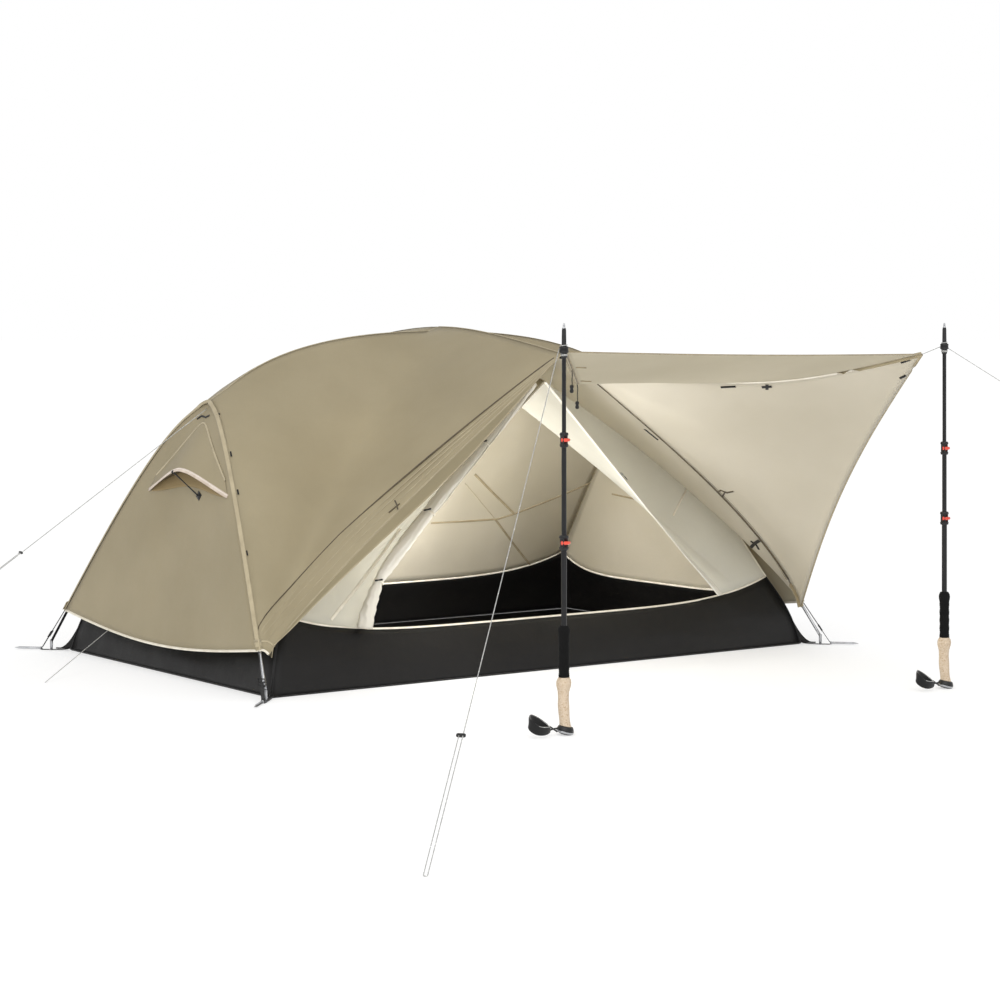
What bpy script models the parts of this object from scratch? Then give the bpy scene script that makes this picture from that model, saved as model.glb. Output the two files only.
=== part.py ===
"""A two-person backpacking tent, pitched, with its front door panel held out as an awning.

The origin is on the ground under the middle of the floor. +X runs along the tent to its right
end, -Y is the side of the open door, and +Z is up. All sizes are in metres.
"""

import math

import bmesh
import bpy
from mathutils import Matrix, Vector

# Gap between pieces that touch
CLEAR = 0.0003

# Tub floor
FLOOR_LENGTH = 2.15
FLOOR_WIDTH = 1.35
FLOOR_SHEET = 0.002
TUB_SHEET = 0.002
TUB_SEAM_RISE = 0.0008
TUB_LEAN = 0.085
TUB_BELLY = 0.012
TUB_SIDE_HEIGHT = 0.160
TUB_CORNER_HEIGHT = 0.235

# Pole frame
POLE_RADIUS = 0.0045
FOOT_OUT = 0.05
FOOT_TIP = 0.030
HUB_SPAN = 1.80
HUB_HEIGHT = 0.850
HUB_RADIUS = 0.0105
RIDGE_HEIGHT = 1.090
RIDGE_SHOULDER_IN = 0.160
RIDGE_SHOULDER_UP = 0.175
RIDGE_CROWN = 0.430
BROW_REACH = 0.700
BROW_DROP = 0.075
BROW_DIP = 0.018
LEG_SHOULDER = 0.180
LEG_FOOT_LEAN = 0.250
LEG_FOOT_RISE = 0.350

# Fly
FLY_SHEET = 0.0020
SEAM_LIFT = 0.009
SEAM_END_LEAN = 0.6
BROW_LIFT = 0.0150
BROW_LEAN = 0.6
HUB_LIFT = 0.0240
HUB_LIFT_LEAN = 0.35
HUB_LIFT_REACH = 0.050
HEM_CORNER = 0.140
HEM_CENTRE = 0.090
HEM_BOW = 0.030
DOOR_HEM_BOW = 0.006
DOOR_FOOT = 0.026
DOOR_EDGE_BOW = 0.020
DOOR_SEAM_BOW = 0.050
FLAP_FOLD = 0.007
FLAP_FOLDS = 2
BACK_STAKE_OUT = 1.380
BACK_STAKE_RISE = 0.060

# Awning, the front door panel held out on two trekking poles
AWNING_LEFT = Vector((-0.735, -1.680, 1.045))
AWNING_RIGHT = Vector((0.638, -1.690, 1.030))
AWNING_ZIP_SAG = 0.095
AWNING_SEAM_SAG = 0.090
AWNING_ROOF_SAG = 0.020
AWNING_FRONT_SAG = 0.006
AWNING_HEM_BOW = 0.045
AWNING_WALL_SAG = 0.020
AWNING_FOLD = 0.006

# Vent hood on the left end
HOOD_SPAN = (0.06, 0.84)
HOOD_SKY = (0.585, 0.830)
HOOD_STAND = 0.045
HOOD_LOW_SIDE = 0.09
STRUT_RADIUS = 0.003
STRUT_FOOT = (0.35, 0.50)
STRUT_HEAD = 0.625

# Inner tent
INNER_SHEET = 0.0015
INNER_HUB_IN = 0.030
INNER_HUB_DROP = 0.070
INNER_RIDGE_DROP = 0.055
INNER_BROW_REACH = 0.610
INNER_BROW_DROP = 0.155
INNER_SHOULDER = 0.150
INNER_FOOT_LEAN = 0.170
INNER_FOOT_RISE = 0.200
DOORWAY_FIRST_CELL = 2
DOORWAY_LAST_CELL = 12
INNER_ZIP_BOW = 0.016
INNER_ROLL_BOW = 0.038
ROLL_RADIUS = 0.019
ROLL_FOLD = 0.004
ROLL_LOBES = 3
ROLL_TWIST = 2.5
ROLL_COLUMN = 1.0
ROLL_STAND = 0.0006
ROLL_END_GAP = 0.035
SLIDER_SIZE = Vector((0.010, 0.006, 0.022))
SLIDER_PLACE = 0.55

# Corner webbing and stakes
WEB_WIDTH = 0.015
WEB_SHEET = 0.0016
WEB_REACH = 0.034
WEB_FOLD = 0.012
WEB_FOLD_BACK = 0.004
GROMMET_CLEAR = 0.0006
GROMMET_SIDES = 12
GROMMET_CUT = 0.020
STAKE_RADIUS = 0.0030
STAKE_HEAD_RADIUS = 0.0055
STAKE_HEAD = 0.006
STAKE_LENGTH = 0.100
STAKE_POINT = 0.015
STAKE_STEPS = 10

# Guylines
LINE_RADIUS = 0.0012
LINE_CELLS = 18
LOOP_CELLS = 6
LINE_STRAND_GAP = 0.0090
TENSIONER_LENGTH = 0.022
TENSIONER_WIDTH = 0.009
TENSIONER_SHEET = 0.004
TENSIONER_HOLE = 0.0020
TENSIONER_HOLE_SIDES = 8
TENSIONER_END_CELLS = 5
FRONT_LINE_END = Vector((-2.044, -2.920, 0.0016))
FRONT_TENSIONER = 0.787
LEFT_LINE_END = Vector((-1.740, 0.0, 0.306))
LEFT_TENSIONER = 0.800
LEFT_LINE_ROW = 0.930
RIGHT_LINE_END = Vector((1.000, -2.080, 0.760))
HEM_CORD_END = Vector((-1.485, 0.018, 0.0016))
HEM_CORD_COLUMN = 6

# Trekking poles, standing on their grips
POLE_PLACES = (Vector((-0.763, -1.710, 0.0)), Vector((0.710, -1.716, 0.0)))
POLE_UPPER_LOCKS = (0.806, 0.741)
POLE_TIPS = (1.125, 1.127)
CAP_RADIUS = 0.0235
CAP_HEIGHT = 0.013
CAP_EDGE = 0.003
CORK_TOP = 0.157
CORK_SHAPE = (
    (0.0145, 0.0),
    (0.0190, 0.012),
    (0.0180, 0.026),
    (0.0145, 0.045),
    (0.0157, 0.085),
    (0.0145, 0.115),
)
CORK_FOOT = 0.0168
CORK_FOOT_RISE = 0.006
FOAM_TOP = 0.297
FOAM_RADIUS = 0.0130
FOAM_COLLAR = 0.0165
FOAM_COLLAR_TOP = 0.010
FOAM_COLLAR_LOW = 0.022
FOAM_NECK = 0.030
LOWER_LOCK = 0.525
GRIP_TUBE = 0.0080
MIDDLE_TUBE = 0.0070
TIP_TUBE = 0.0060
TUBE_WALL = 0.0007
TUBE_OVERLAP = 0.220
LOCK_HEIGHT = 0.034
LOCK_WALL = 0.0030
LEVER_LENGTH = 0.026
LEVER_HEIGHT = 0.020
LEVER_SHEET = 0.0035
LEVER_EDGE = 0.0010
SHAFT_IN_CAP = 0.012
BASKET_DROP = 0.072
BASKET_RADIUS = 0.0125
BASKET_RIM = 0.004
BASKET_ROOT = 0.006
TIP_CONE = 0.045
TIP_CONE_RADIUS = 0.0050
TIP_SHOULDER = 0.018
TIP_POINT = 0.001
TIP_POINT_RADIUS = 0.0020
STRAP_WIDTH = 0.022
STRAP_SHEET = 0.0040
STRAP_REACH = 0.085
STRAP_LOW = 0.004
STRAP_NECK = 0.006
STRAP_BELLY = 0.017
STRAP_TILT = 0.42
TURNED_STEPS = 14
HOOD_ROWS = 5

# Cells of the cloth panels
RIDGE_CELLS = 7
BROW_CELLS = 5
BACK_BROW_CELLS = 4
LEG_CELLS = 12
INNER_CELLS = 8
LONG_CELLS = 14
SHORT_CELLS = 8
POLE_CELLS = 12
ROLL_RINGS = 22
ROLL_SIDES = 12
STRAP_CELLS = 14

UP = Vector((0.0, 0.0, 1.0))
INSIDE = Vector((0.0, 0.0, 0.35))
CORNERS = {"front_left": (-1, -1), "front_right": (1, -1), "back_left": (-1, 1), "back_right": (1, 1)}


def clear_scene():
    for old in list(bpy.data.objects):
        bpy.data.objects.remove(old, do_unlink=True)


def new_collection(name):
    collection = bpy.data.collections.new(name)
    bpy.context.scene.collection.children.link(collection)
    return collection


def material(name, colour, roughness=0.7, metallic=0.0):
    """A Principled material, made once for each name."""
    found = bpy.data.materials.get(name)
    if found:
        return found
    made = bpy.data.materials.new(name)
    made.use_nodes = True
    shader = made.node_tree.nodes["Principled BSDF"]
    shader.inputs["Base Color"].default_value = (*colour, 1.0)
    shader.inputs["Roughness"].default_value = roughness
    shader.inputs["Metallic"].default_value = metallic
    return made


def fly_cloth():
    return material("fly_ripstop", (0.39, 0.33, 0.22), 0.6)


def awning_cloth():
    return material("fly_coated_side", (0.58, 0.54, 0.42), 0.55)


def inner_cloth():
    return material("inner_nylon", (0.52, 0.47, 0.34), 0.75)


def mesh_cloth():
    return material("inner_mesh", (0.63, 0.62, 0.54), 0.85)


def roll_cloth():
    return material("door_cloth", (0.80, 0.77, 0.69), 0.8)


def tub_cloth():
    return material("tub_black_nylon", (0.020, 0.019, 0.017), 0.5)


def floor_cloth():
    return material("floor_black_nylon", (0.024, 0.023, 0.021), 0.5)


def black_metal():
    return material("black_anodised_tube", (0.02, 0.02, 0.02), 0.35, 1.0)


def grey_metal():
    return material("silver_tube", (0.55, 0.55, 0.54), 0.3, 1.0)


def black_plastic():
    return material("black_plastic", (0.02, 0.02, 0.02), 0.45)


def red_plastic():
    return material("red_lock_plastic", (0.69, 0.05, 0.024), 0.4)


def webbing():
    return material("black_webbing", (0.016, 0.016, 0.016), 0.85)


def guy_cord():
    return material("grey_guy_cord", (0.40, 0.40, 0.39), 0.8)


def cork():
    return material("grip_cork", (0.73, 0.58, 0.41), 0.85)


def foam():
    return material("grip_foam", (0.022, 0.021, 0.02), 0.9)


# Curves are functions of a share from 0 to 1, and sampled curves are lists of points.


def bezier(start, handle_a, handle_b, end):
    def point(t):
        s = 1.0 - t
        return start * s**3 + handle_a * 3 * s * s * t + handle_b * 3 * s * t * t + end * t**3

    return point


def bowed(start, end, bow, lean=0.5):
    """A line from start to end, bowed by a vector that is largest at the share `lean`."""
    power = math.log(0.5) / math.log(lean)

    def point(t):
        return start.lerp(end, t) + bow * math.sin(math.pi * t**power)

    return point


def sampled(curve, cells):
    return [curve(i / cells) for i in range(cells + 1)]


def subdivided(points, parts):
    """The same broken line with each stretch cut in equal parts."""
    cut = []
    for a, b in zip(points, points[1:]):
        cut += [a.lerp(b, i / parts) for i in range(parts)]
    return cut + [points[-1]]


def outward_in_plane(curve, t, plane_side):
    """The unit vector square to a curve, in the upright plane that holds it, pointing up or out."""
    step = 0.002
    run = (curve(min(t + step, 1.0)) - curve(max(t - step, 0.0))).normalized()
    return run.cross(plane_side).normalized()


def share_at_height(curve, height):
    """Where a falling curve passes a height, found by halving."""
    low, high = 0.0, 1.0
    for _ in range(40):
        middle = 0.5 * (low + high)
        if curve(middle).z > height:
            low = middle
        else:
            high = middle
    return low


# Sheets of cloth are grids of points with a small inset at the seams, then a Solidify modifier.


def coons_grid(bottom, top, left, right):
    """Rows of points that fill four edges; left and right run from bottom to top."""
    columns = len(bottom) - 1
    rows = len(left) - 1
    grid = []
    for j in range(rows + 1):
        v = j / rows
        row = []
        for i in range(columns + 1):
            u = i / columns
            across = left[j].lerp(right[j], u)
            along = bottom[i].lerp(top[i], v)
            corner_low = bottom[0].lerp(bottom[-1], u)
            corner_high = top[0].lerp(top[-1], u)
            row.append(across + along - corner_low.lerp(corner_high, v))
        grid.append(row)
    return grid


def fan_grid(left, right, base):
    """Rows of points from the apex that left and right share; row j has j + 1 points."""
    rows = len(left) - 1
    grid = [[left[0].copy()]]
    for j in range(1, rows + 1):
        spread = j / rows
        row = []
        for i in range(j + 1):
            u = i / j
            place = u * rows
            low = min(int(place), rows - 1)
            base_point = base[low].lerp(base[low + 1], place - low)
            bow = base_point - base[0].lerp(base[-1], u)
            row.append(left[j].lerp(right[j], u) + bow * spread * spread)
        grid.append(row)
    return grid


def on_grid(grid, u, v):
    """A point of an even grid, and the unit vector square to it, facing out of the tent."""
    rows = len(grid) - 1
    columns = len(grid[0]) - 1
    x = min(max(u, 0.0), 1.0) * columns
    y = min(max(v, 0.0), 1.0) * rows
    i = min(int(x), columns - 1)
    j = min(int(y), rows - 1)
    low = grid[j][i].lerp(grid[j][i + 1], x - i)
    high = grid[j + 1][i].lerp(grid[j + 1][i + 1], x - i)
    point = low.lerp(high, y - j)
    square = (grid[j][i + 1] - grid[j][i]).cross(grid[j + 1][i] - grid[j][i]).normalized()
    if square.dot(point - INSIDE) < 0.0:
        square.negate()
    return point, square


def inset_edges(grid, distance):
    """Draw the border points of a grid in along the cloth, so that panels clear at their seams."""
    last = len(grid) - 1
    is_fan = len(grid[0]) == 1
    moved = [[point.copy() for point in row] for row in grid]
    for j, row in enumerate(grid):
        end = len(row) - 1
        for i, point in enumerate(row):
            pulls = []
            if i == 0 and end > 0:
                pulls.append(row[1] - point)
            if i == end and end > 0:
                pulls.append(row[end - 1] - point)
            if j == 0 and not is_fan:
                pulls.append(grid[1][i] - point)
            if j == last:
                pulls.append(grid[last - 1][min(i, len(grid[last - 1]) - 1)] - point)
            if j == 0 and is_fan:
                pulls.append((grid[1][0] + grid[1][1]) * 0.5 - point)
            for pull in pulls:
                moved[j][i] += pull.normalized() * distance
    return moved


def grid_faces(mesh, rows):
    """Quads between equal rows, triangles between growing rows."""
    for low, high in zip(rows, rows[1:]):
        if len(low) == len(high):
            for i in range(len(low) - 1):
                mesh.faces.new((low[i], low[i + 1], high[i + 1], high[i]))
        else:
            for i in range(len(low)):
                mesh.faces.new((low[i], high[i + 1], high[i]))
            for i in range(len(low) - 1):
                mesh.faces.new((low[i], low[i + 1], high[i + 1]))


def finish_mesh(mesh, name, collection, look, origin=None, smooth=True):
    """Turn a bmesh in world places into an object whose origin is at `origin`."""
    place = origin if origin is not None else Vector((0.0, 0.0, 0.0))
    for vertex in mesh.verts:
        vertex.co -= place
    data = bpy.data.meshes.new(name)
    mesh.to_mesh(data)
    mesh.free()
    made = bpy.data.objects.new(name, data)
    made.location = place
    collection.objects.link(made)
    data.materials.append(look)
    if smooth:
        data.shade_smooth()
        data.set_sharp_from_angle(angle=math.radians(40))
    return made


def cloth(name, grid, sheet, look, collection, faces_out=True, thicken_out=True, inset=CLEAR):
    """A panel of cloth: its grid is the inner face of the sheet when it thickens outward."""
    points = inset_edges(grid, inset)
    mesh = bmesh.new()
    rows = [[mesh.verts.new(point) for point in row] for row in points]
    grid_faces(mesh, rows)
    mesh.normal_update()
    facing = sum((face.normal.dot(face.calc_center_median() - INSIDE) for face in mesh.faces), 0.0)
    if (facing > 0.0) != faces_out:
        bmesh.ops.reverse_faces(mesh, faces=mesh.faces[:])
    made = finish_mesh(mesh, name, collection, look)
    solid = made.modifiers.new("sheet", "SOLIDIFY")
    solid.thickness = sheet
    solid.offset = 1.0 if thicken_out else -1.0
    return made


def tube(name, points, radius, look, collection):
    """A round tube along points, with closed ends."""
    data = bpy.data.curves.new(name, "CURVE")
    data.dimensions = "3D"
    data.bevel_depth = radius
    data.bevel_resolution = 2
    data.use_fill_caps = True
    spline = data.splines.new("POLY")
    spline.points.add(len(points) - 1)
    for slot, point in zip(spline.points, points):
        slot.co = (*point, 1.0)
    data.materials.append(look)
    made = bpy.data.objects.new(name, data)
    collection.objects.link(made)
    return made


def turned(name, profile, place, look, collection, steps=TURNED_STEPS):
    """A turned piece on an upright axis, from (radius, height) pairs, outer side top to bottom."""
    mesh = bmesh.new()
    ring = [mesh.verts.new((radius, 0.0, height)) for radius, height in profile]
    for a, b in zip(ring, ring[1:]):
        mesh.edges.new((a, b))
    if profile[0][0] > 0.0 and profile[-1][0] > 0.0:
        mesh.edges.new((ring[-1], ring[0]))
    data = bpy.data.meshes.new(name)
    mesh.to_mesh(data)
    mesh.free()
    data.materials.append(look)
    made = bpy.data.objects.new(name, data)
    made.location = place
    collection.objects.link(made)
    screw = made.modifiers.new("turn", "SCREW")
    screw.steps = steps
    screw.render_steps = steps
    screw.use_merge_vertices = True
    screw.merge_threshold = 0.0001
    screw.use_smooth_shade = True
    return made


def ribbon(name, points, side, width, sheet, look, collection, origin=None):
    """A flat band along points; `side` is the way of its width."""
    mesh = bmesh.new()
    rings = []
    last = len(points) - 1
    for i, point in enumerate(points):
        before = (point - points[max(i - 1, 0)]).normalized()
        after = (points[min(i + 1, last)] - point).normalized()
        run = (before + after).normalized()
        square = side.cross(run).normalized()
        straight = after if i < last else before
        mitre = max(side.cross(straight).normalized().dot(square), 0.35)
        reach = square * (0.5 * sheet / mitre)
        half = side * (0.5 * width)
        corners = (point - half - reach, point + half - reach, point + half + reach, point - half + reach)
        rings.append([mesh.verts.new(corner) for corner in corners])
    for low, high in zip(rings, rings[1:]):
        for k in range(4):
            mesh.faces.new((low[k], low[(k + 1) % 4], high[(k + 1) % 4], high[k]))
    mesh.faces.new(rings[0])
    mesh.faces.new(rings[-1])
    bmesh.ops.recalc_face_normals(mesh, faces=mesh.faces[:])
    return finish_mesh(mesh, name, collection, look, origin, smooth=False)


def block(name, size, place, look, collection, rotation=(0.0, 0.0, 0.0)):
    mesh = bmesh.new()
    bmesh.ops.create_cube(mesh, size=1.0)
    bmesh.ops.scale(mesh, vec=size, verts=mesh.verts)
    made = finish_mesh(mesh, name, collection, look, smooth=False)
    made.location = place
    made.rotation_euler = rotation


# The frame's curves, which the fly and the inner tent follow.


def hub_point(x_side):
    return Vector((x_side * HUB_SPAN / 2, 0.0, HUB_HEIGHT))


def foot_point(x_side, y_side):
    return Vector((x_side * (FLOOR_LENGTH / 2 + FOOT_OUT), y_side * (FLOOR_WIDTH / 2 + FOOT_OUT), 0.0))


def leg_run(x_side, y_side):
    """The level unit vector from a hub to the foot of one of its legs."""
    run = foot_point(x_side, y_side) - hub_point(x_side)
    run.z = 0.0
    return run.normalized()


def leg_curve(x_side, y_side):
    """A leg pole's axis, from its hub down to the top of its foot tip."""
    run = leg_run(x_side, y_side)
    start = hub_point(x_side)
    end = foot_point(x_side, y_side) + UP * FOOT_TIP
    handle_top = start + run * LEG_SHOULDER
    handle_low = end - run * LEG_FOOT_LEAN + UP * LEG_FOOT_RISE
    return bezier(start, handle_top, handle_low, end)


def ridge_curve(x_side):
    """Half of the ridge pole's axis, from a hub to the crown."""
    start = hub_point(x_side)
    crown = Vector((0.0, 0.0, RIDGE_HEIGHT))
    handle_hub = start + Vector((-x_side * RIDGE_SHOULDER_IN, 0.0, RIDGE_SHOULDER_UP))
    handle_crown = crown + Vector((x_side * RIDGE_CROWN, 0.0, 0.0))
    return bezier(start, handle_hub, handle_crown, crown)


def brow_curve(y_side):
    """Half of the brow pole's axis, from above the crown to the point that holds the fly out."""
    start = Vector((0.0, 0.0, RIDGE_HEIGHT + 2 * POLE_RADIUS + CLEAR))
    end = Vector((0.0, y_side * BROW_REACH, RIDGE_HEIGHT - BROW_DROP))
    handle_a = start.lerp(end, 1 / 3)
    handle_a.z = start.z
    handle_b = start.lerp(end, 2 / 3)
    handle_b.z = end.z + BROW_DIP * 2
    return bezier(start, handle_a, handle_b, end)


def cut_start(curve, distance, cells):
    """Samples of a curve that leaves out its first stretch, as long as `distance`."""
    start = curve(0.0)
    low, high = 0.0, 1.0
    for _ in range(40):
        middle = 0.5 * (low + high)
        if (curve(middle) - start).length < distance:
            low = middle
        else:
            high = middle
    return [curve(high + (1.0 - high) * i / cells) for i in range(cells + 1)]


def hub_bump(distance):
    """How far the fly stands off a pole axis, more over a hub."""
    return SEAM_LIFT + (HUB_LIFT - SEAM_LIFT) * math.exp(-((distance / HUB_LIFT_REACH) ** 2))


def fly_hub(x_side):
    """Where the fly's seams meet over a hub."""
    return hub_point(x_side) + Vector((x_side * HUB_LIFT_LEAN, 0.0, 1.0)).normalized() * HUB_LIFT


def fly_leg(x_side, y_side):
    """The fly's seam over a leg, from its hem corner up to the hub."""
    curve = leg_curve(x_side, y_side)
    side = leg_run(x_side, y_side).cross(UP)
    low = share_at_height(curve, HEM_CORNER)
    points = []
    for i in range(LEG_CELLS + 1):
        t = low * (1.0 - i / LEG_CELLS)
        axis = curve(t)
        out = outward_in_plane(curve, t, -side) + Vector((x_side * SEAM_END_LEAN, 0.0, 0.0))
        points.append(axis + out.normalized() * hub_bump((axis - curve(0.0)).length))
    points[-1] = fly_hub(x_side)
    return points


def fly_ridge(x_side):
    """The fly's seam over half of the ridge, from the hub to the crown."""
    points = []
    for axis in sampled(ridge_curve(x_side), RIDGE_CELLS):
        points.append(axis + UP * hub_bump((axis - hub_point(x_side)).length))
    points[0] = fly_hub(x_side)
    points[-1] = fly_brow(1)[0]
    return points


def fly_brow(y_side, cells=BROW_CELLS):
    """The fly's seam over half of the brow pole, from the crown outward."""
    points = []
    for i, axis in enumerate(sampled(brow_curve(y_side), cells)):
        out = Vector((0.0, y_side * BROW_LEAN * i / cells, 1.0))
        points.append(axis + out.normalized() * BROW_LIFT)
    return points


def front_edge(x_side):
    """A side of the fly's front doorway, from its foot up to the brow point."""
    corner = fly_leg(x_side, -1)[0]
    foot = corner + Vector((-x_side * DOOR_FOOT, -DOOR_FOOT * 0.6, -DOOR_FOOT * 0.5))
    top = fly_brow(-1)[-1]
    rise = DOOR_SEAM_BOW if x_side > 0 else DOOR_EDGE_BOW
    bow = Vector((x_side * rise, 0.0, rise))
    return sampled(bowed(foot, top, bow, 0.35), LEG_CELLS)


def back_edge():
    """The closed back zip from its stake point to the brow point, then the brow to the crown."""
    foot = Vector((0.0, BACK_STAKE_OUT, BACK_STAKE_RISE))
    brow = fly_brow(1, BACK_BROW_CELLS)
    bow = Vector((0.0, HEM_BOW, HEM_BOW))
    return sampled(bowed(foot, brow[-1], bow), LEG_CELLS - BACK_BROW_CELLS)[:-1] + brow[::-1]


def fly_side_grid(x_side, y_side):
    """A front or back fly panel; the brow tops a front panel, and sides a back one."""
    leg = fly_leg(x_side, y_side)
    if y_side > 0:
        edge = back_edge()
        bottom = sampled(bowed(leg[0], edge[0], UP * HEM_BOW), RIDGE_CELLS)
        return coons_grid(bottom, fly_ridge(x_side), leg, edge)
    edge = front_edge(x_side)
    bottom = sampled(bowed(leg[0], edge[0], UP * DOOR_HEM_BOW), RIDGE_CELLS + BROW_CELLS)
    grid = coons_grid(bottom, fly_ridge(x_side) + fly_brow(y_side)[1:], leg, edge)
    if x_side < 0:
        fold_along_edge(grid)
    return grid


def fold_along_edge(grid):
    """Storm flap folds that run up beside the open edge of the doorway."""
    rows = len(grid) - 1
    columns = len(grid[0]) - 1
    for j in range(1, rows):
        hold = math.sin(math.pi * j / rows)
        for i in range(columns // 2, columns):
            u = (i - columns // 2) / (columns - columns // 2)
            wave = math.sin(2 * math.pi * FLAP_FOLDS * u) * u
            grid[j][i] += Vector((0.0, -1.0, 0.4)).normalized() * FLAP_FOLD * wave * hold


def fly_end_grid(x_side):
    """An end panel between two legs; its top follows the last stretch of both seams."""
    front = fly_leg(x_side, -1)
    back = fly_leg(x_side, 1)
    half = SHORT_CELLS // 2
    arch = subdivided([front[-2], front[-1], back[-2]], half)
    drop = UP * (HEM_CENTRE - HEM_CORNER)
    bottom = sampled(bowed(front[0], back[0], drop), SHORT_CELLS)
    return coons_grid(bottom, arch, front[:-1], back[:-1])


def awning_seam():
    """The taped seam between awning roof and wall, from the brow point to the right pole."""
    return sampled(bowed(fly_brow(-1)[-1], AWNING_RIGHT, UP * -AWNING_SEAM_SAG), LEG_CELLS)


def awning_roof_grid():
    start = fly_brow(-1)[-1]
    inward = Vector((0.55, 0.0, -1.0))
    zip_edge = sampled(bowed(start, AWNING_LEFT, inward * AWNING_ZIP_SAG, 0.45), LEG_CELLS)
    hem = sampled(bowed(AWNING_LEFT, AWNING_RIGHT, UP * -AWNING_FRONT_SAG), LEG_CELLS)
    grid = fan_grid(zip_edge, awning_seam(), hem)
    for j, row in enumerate(grid):
        t = j / (len(grid) - 1)
        for i in range(1, len(row) - 1):
            u = i / (len(row) - 1)
            belly = AWNING_ROOF_SAG * math.sin(math.pi * t) * math.sin(math.pi * u)
            fold = AWNING_FOLD * math.sin(6 * math.pi * u) * math.sin(math.pi * t)
            row[i].z -= belly + fold
    return grid


def awning_wall_grid():
    seam_down = list(reversed(front_edge(1)))
    middle = AWNING_RIGHT.lerp(seam_down[-1], 0.5)
    toward = (fly_brow(-1)[-1] - middle).normalized()
    hem = sampled(bowed(AWNING_RIGHT, seam_down[-1], toward * AWNING_HEM_BOW), LEG_CELLS)
    grid = fan_grid(awning_seam(), seam_down, hem)
    inward = Vector((-0.6, -0.3, -0.72))
    for j, row in enumerate(grid):
        t = j / (len(grid) - 1)
        for i in range(1, len(row) - 1):
            u = i / (len(row) - 1)
            belly = AWNING_WALL_SAG * math.sin(math.pi * t) * math.sin(math.pi * u)
            fold = AWNING_FOLD * math.sin(5 * math.pi * u) * math.sin(math.pi * t)
            row[i] += inward * (belly + fold)
    return grid


# The tub and the inner tent.


def tub_loop(share):
    """Points round the tub wall at a share of its height, from the front left corner."""
    points = []
    lean = TUB_LEAN * share - TUB_BELLY * math.sin(math.pi * share)
    half_x = FLOOR_LENGTH / 2 - lean
    half_y = FLOOR_WIDTH / 2 - lean
    base = FLOOR_SHEET + TUB_SEAM_RISE
    sides = (
        (Vector((-half_x, -half_y, base)), Vector((half_x, -half_y, base)), LONG_CELLS),
        (Vector((half_x, -half_y, base)), Vector((half_x, half_y, base)), SHORT_CELLS),
        (Vector((half_x, half_y, base)), Vector((-half_x, half_y, base)), LONG_CELLS),
        (Vector((-half_x, half_y, base)), Vector((-half_x, -half_y, base)), SHORT_CELLS),
    )
    for start, end, cells in sides:
        for i in range(cells):
            s = i / cells
            corner_share = abs(2 * s - 1) ** 5
            height = TUB_SIDE_HEIGHT + (TUB_CORNER_HEIGHT - TUB_SIDE_HEIGHT) * corner_share
            points.append(start.lerp(end, s) + UP * (height - base) * share)
    return points


def tub_top(side):
    """The inner tent's lower seam on one side, a clearance above the tub wall."""
    loop = tub_loop(1.0)
    loop.append(loop[0])
    first = {"front": 0, "right": LONG_CELLS, "back": LONG_CELLS + SHORT_CELLS}
    first["left"] = 2 * LONG_CELLS + SHORT_CELLS
    cells = LONG_CELLS if side in ("front", "back") else SHORT_CELLS
    return [point + UP * CLEAR for point in loop[first[side]:first[side] + cells + 1]]


def inner_hub(x_side):
    return hub_point(x_side) + Vector((-x_side * INNER_HUB_IN, 0.0, -INNER_HUB_DROP))


def inner_leg(x_side, y_side):
    """The inner tent's corner seam, from the tub corner up to its hook under the hub."""
    row = tub_top("front") if y_side < 0 else list(reversed(tub_top("back")))
    corner = row[0] if x_side < 0 else row[-1]
    top = inner_hub(x_side)
    run = corner - top
    run.z = 0.0
    run.normalize()
    handle_low = corner - run * INNER_FOOT_LEAN + UP * INNER_FOOT_RISE
    return sampled(bezier(corner, handle_low, top + run * INNER_SHOULDER, top), INNER_CELLS)


def inner_ridge(x_side):
    start = inner_hub(x_side)
    crown = Vector((0.0, 0.0, RIDGE_HEIGHT - INNER_RIDGE_DROP))
    handle_hub = start + Vector((-x_side * RIDGE_SHOULDER_IN, 0.0, RIDGE_SHOULDER_UP))
    handle_crown = crown + Vector((x_side * RIDGE_CROWN, 0.0, 0.0))
    return sampled(bezier(start, handle_hub, handle_crown, crown), RIDGE_CELLS)


def inner_brow():
    """The front half of the inner tent's cross seam, from the crown to the top of the doorway."""
    crown = inner_ridge(1)[-1]
    end = Vector((0.0, -INNER_BROW_REACH, RIDGE_HEIGHT - INNER_BROW_DROP))
    return sampled(bowed(crown, end, UP * BROW_DIP), BROW_CELLS)


def inner_door_edge(x_side):
    """A side of the inner doorway, from the tub wall up to its top."""
    cell = DOORWAY_FIRST_CELL if x_side < 0 else DOORWAY_LAST_CELL
    foot = tub_top("front")[cell]
    rise = INNER_ROLL_BOW if x_side < 0 else INNER_ZIP_BOW
    bow = Vector((x_side, 0.0, 1.0)) * rise
    return sampled(bowed(foot, inner_brow()[-1], bow, 0.35), INNER_CELLS)


def inner_front_grid(x_side):
    row = tub_top("front")
    cells = RIDGE_CELLS + BROW_CELLS
    stretch = row[:DOORWAY_FIRST_CELL + 1] if x_side < 0 else list(reversed(row[DOORWAY_LAST_CELL:]))
    bottom = subdivided(stretch, cells // (len(stretch) - 1))
    top = inner_ridge(x_side) + inner_brow()[1:]
    return coons_grid(bottom, top, inner_leg(x_side, -1), inner_door_edge(x_side))


def inner_back_grid():
    bottom = list(reversed(tub_top("back")))
    top = inner_ridge(-1) + list(reversed(inner_ridge(1)))[1:]
    return coons_grid(bottom, top, inner_leg(-1, 1), inner_leg(1, 1))


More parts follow.
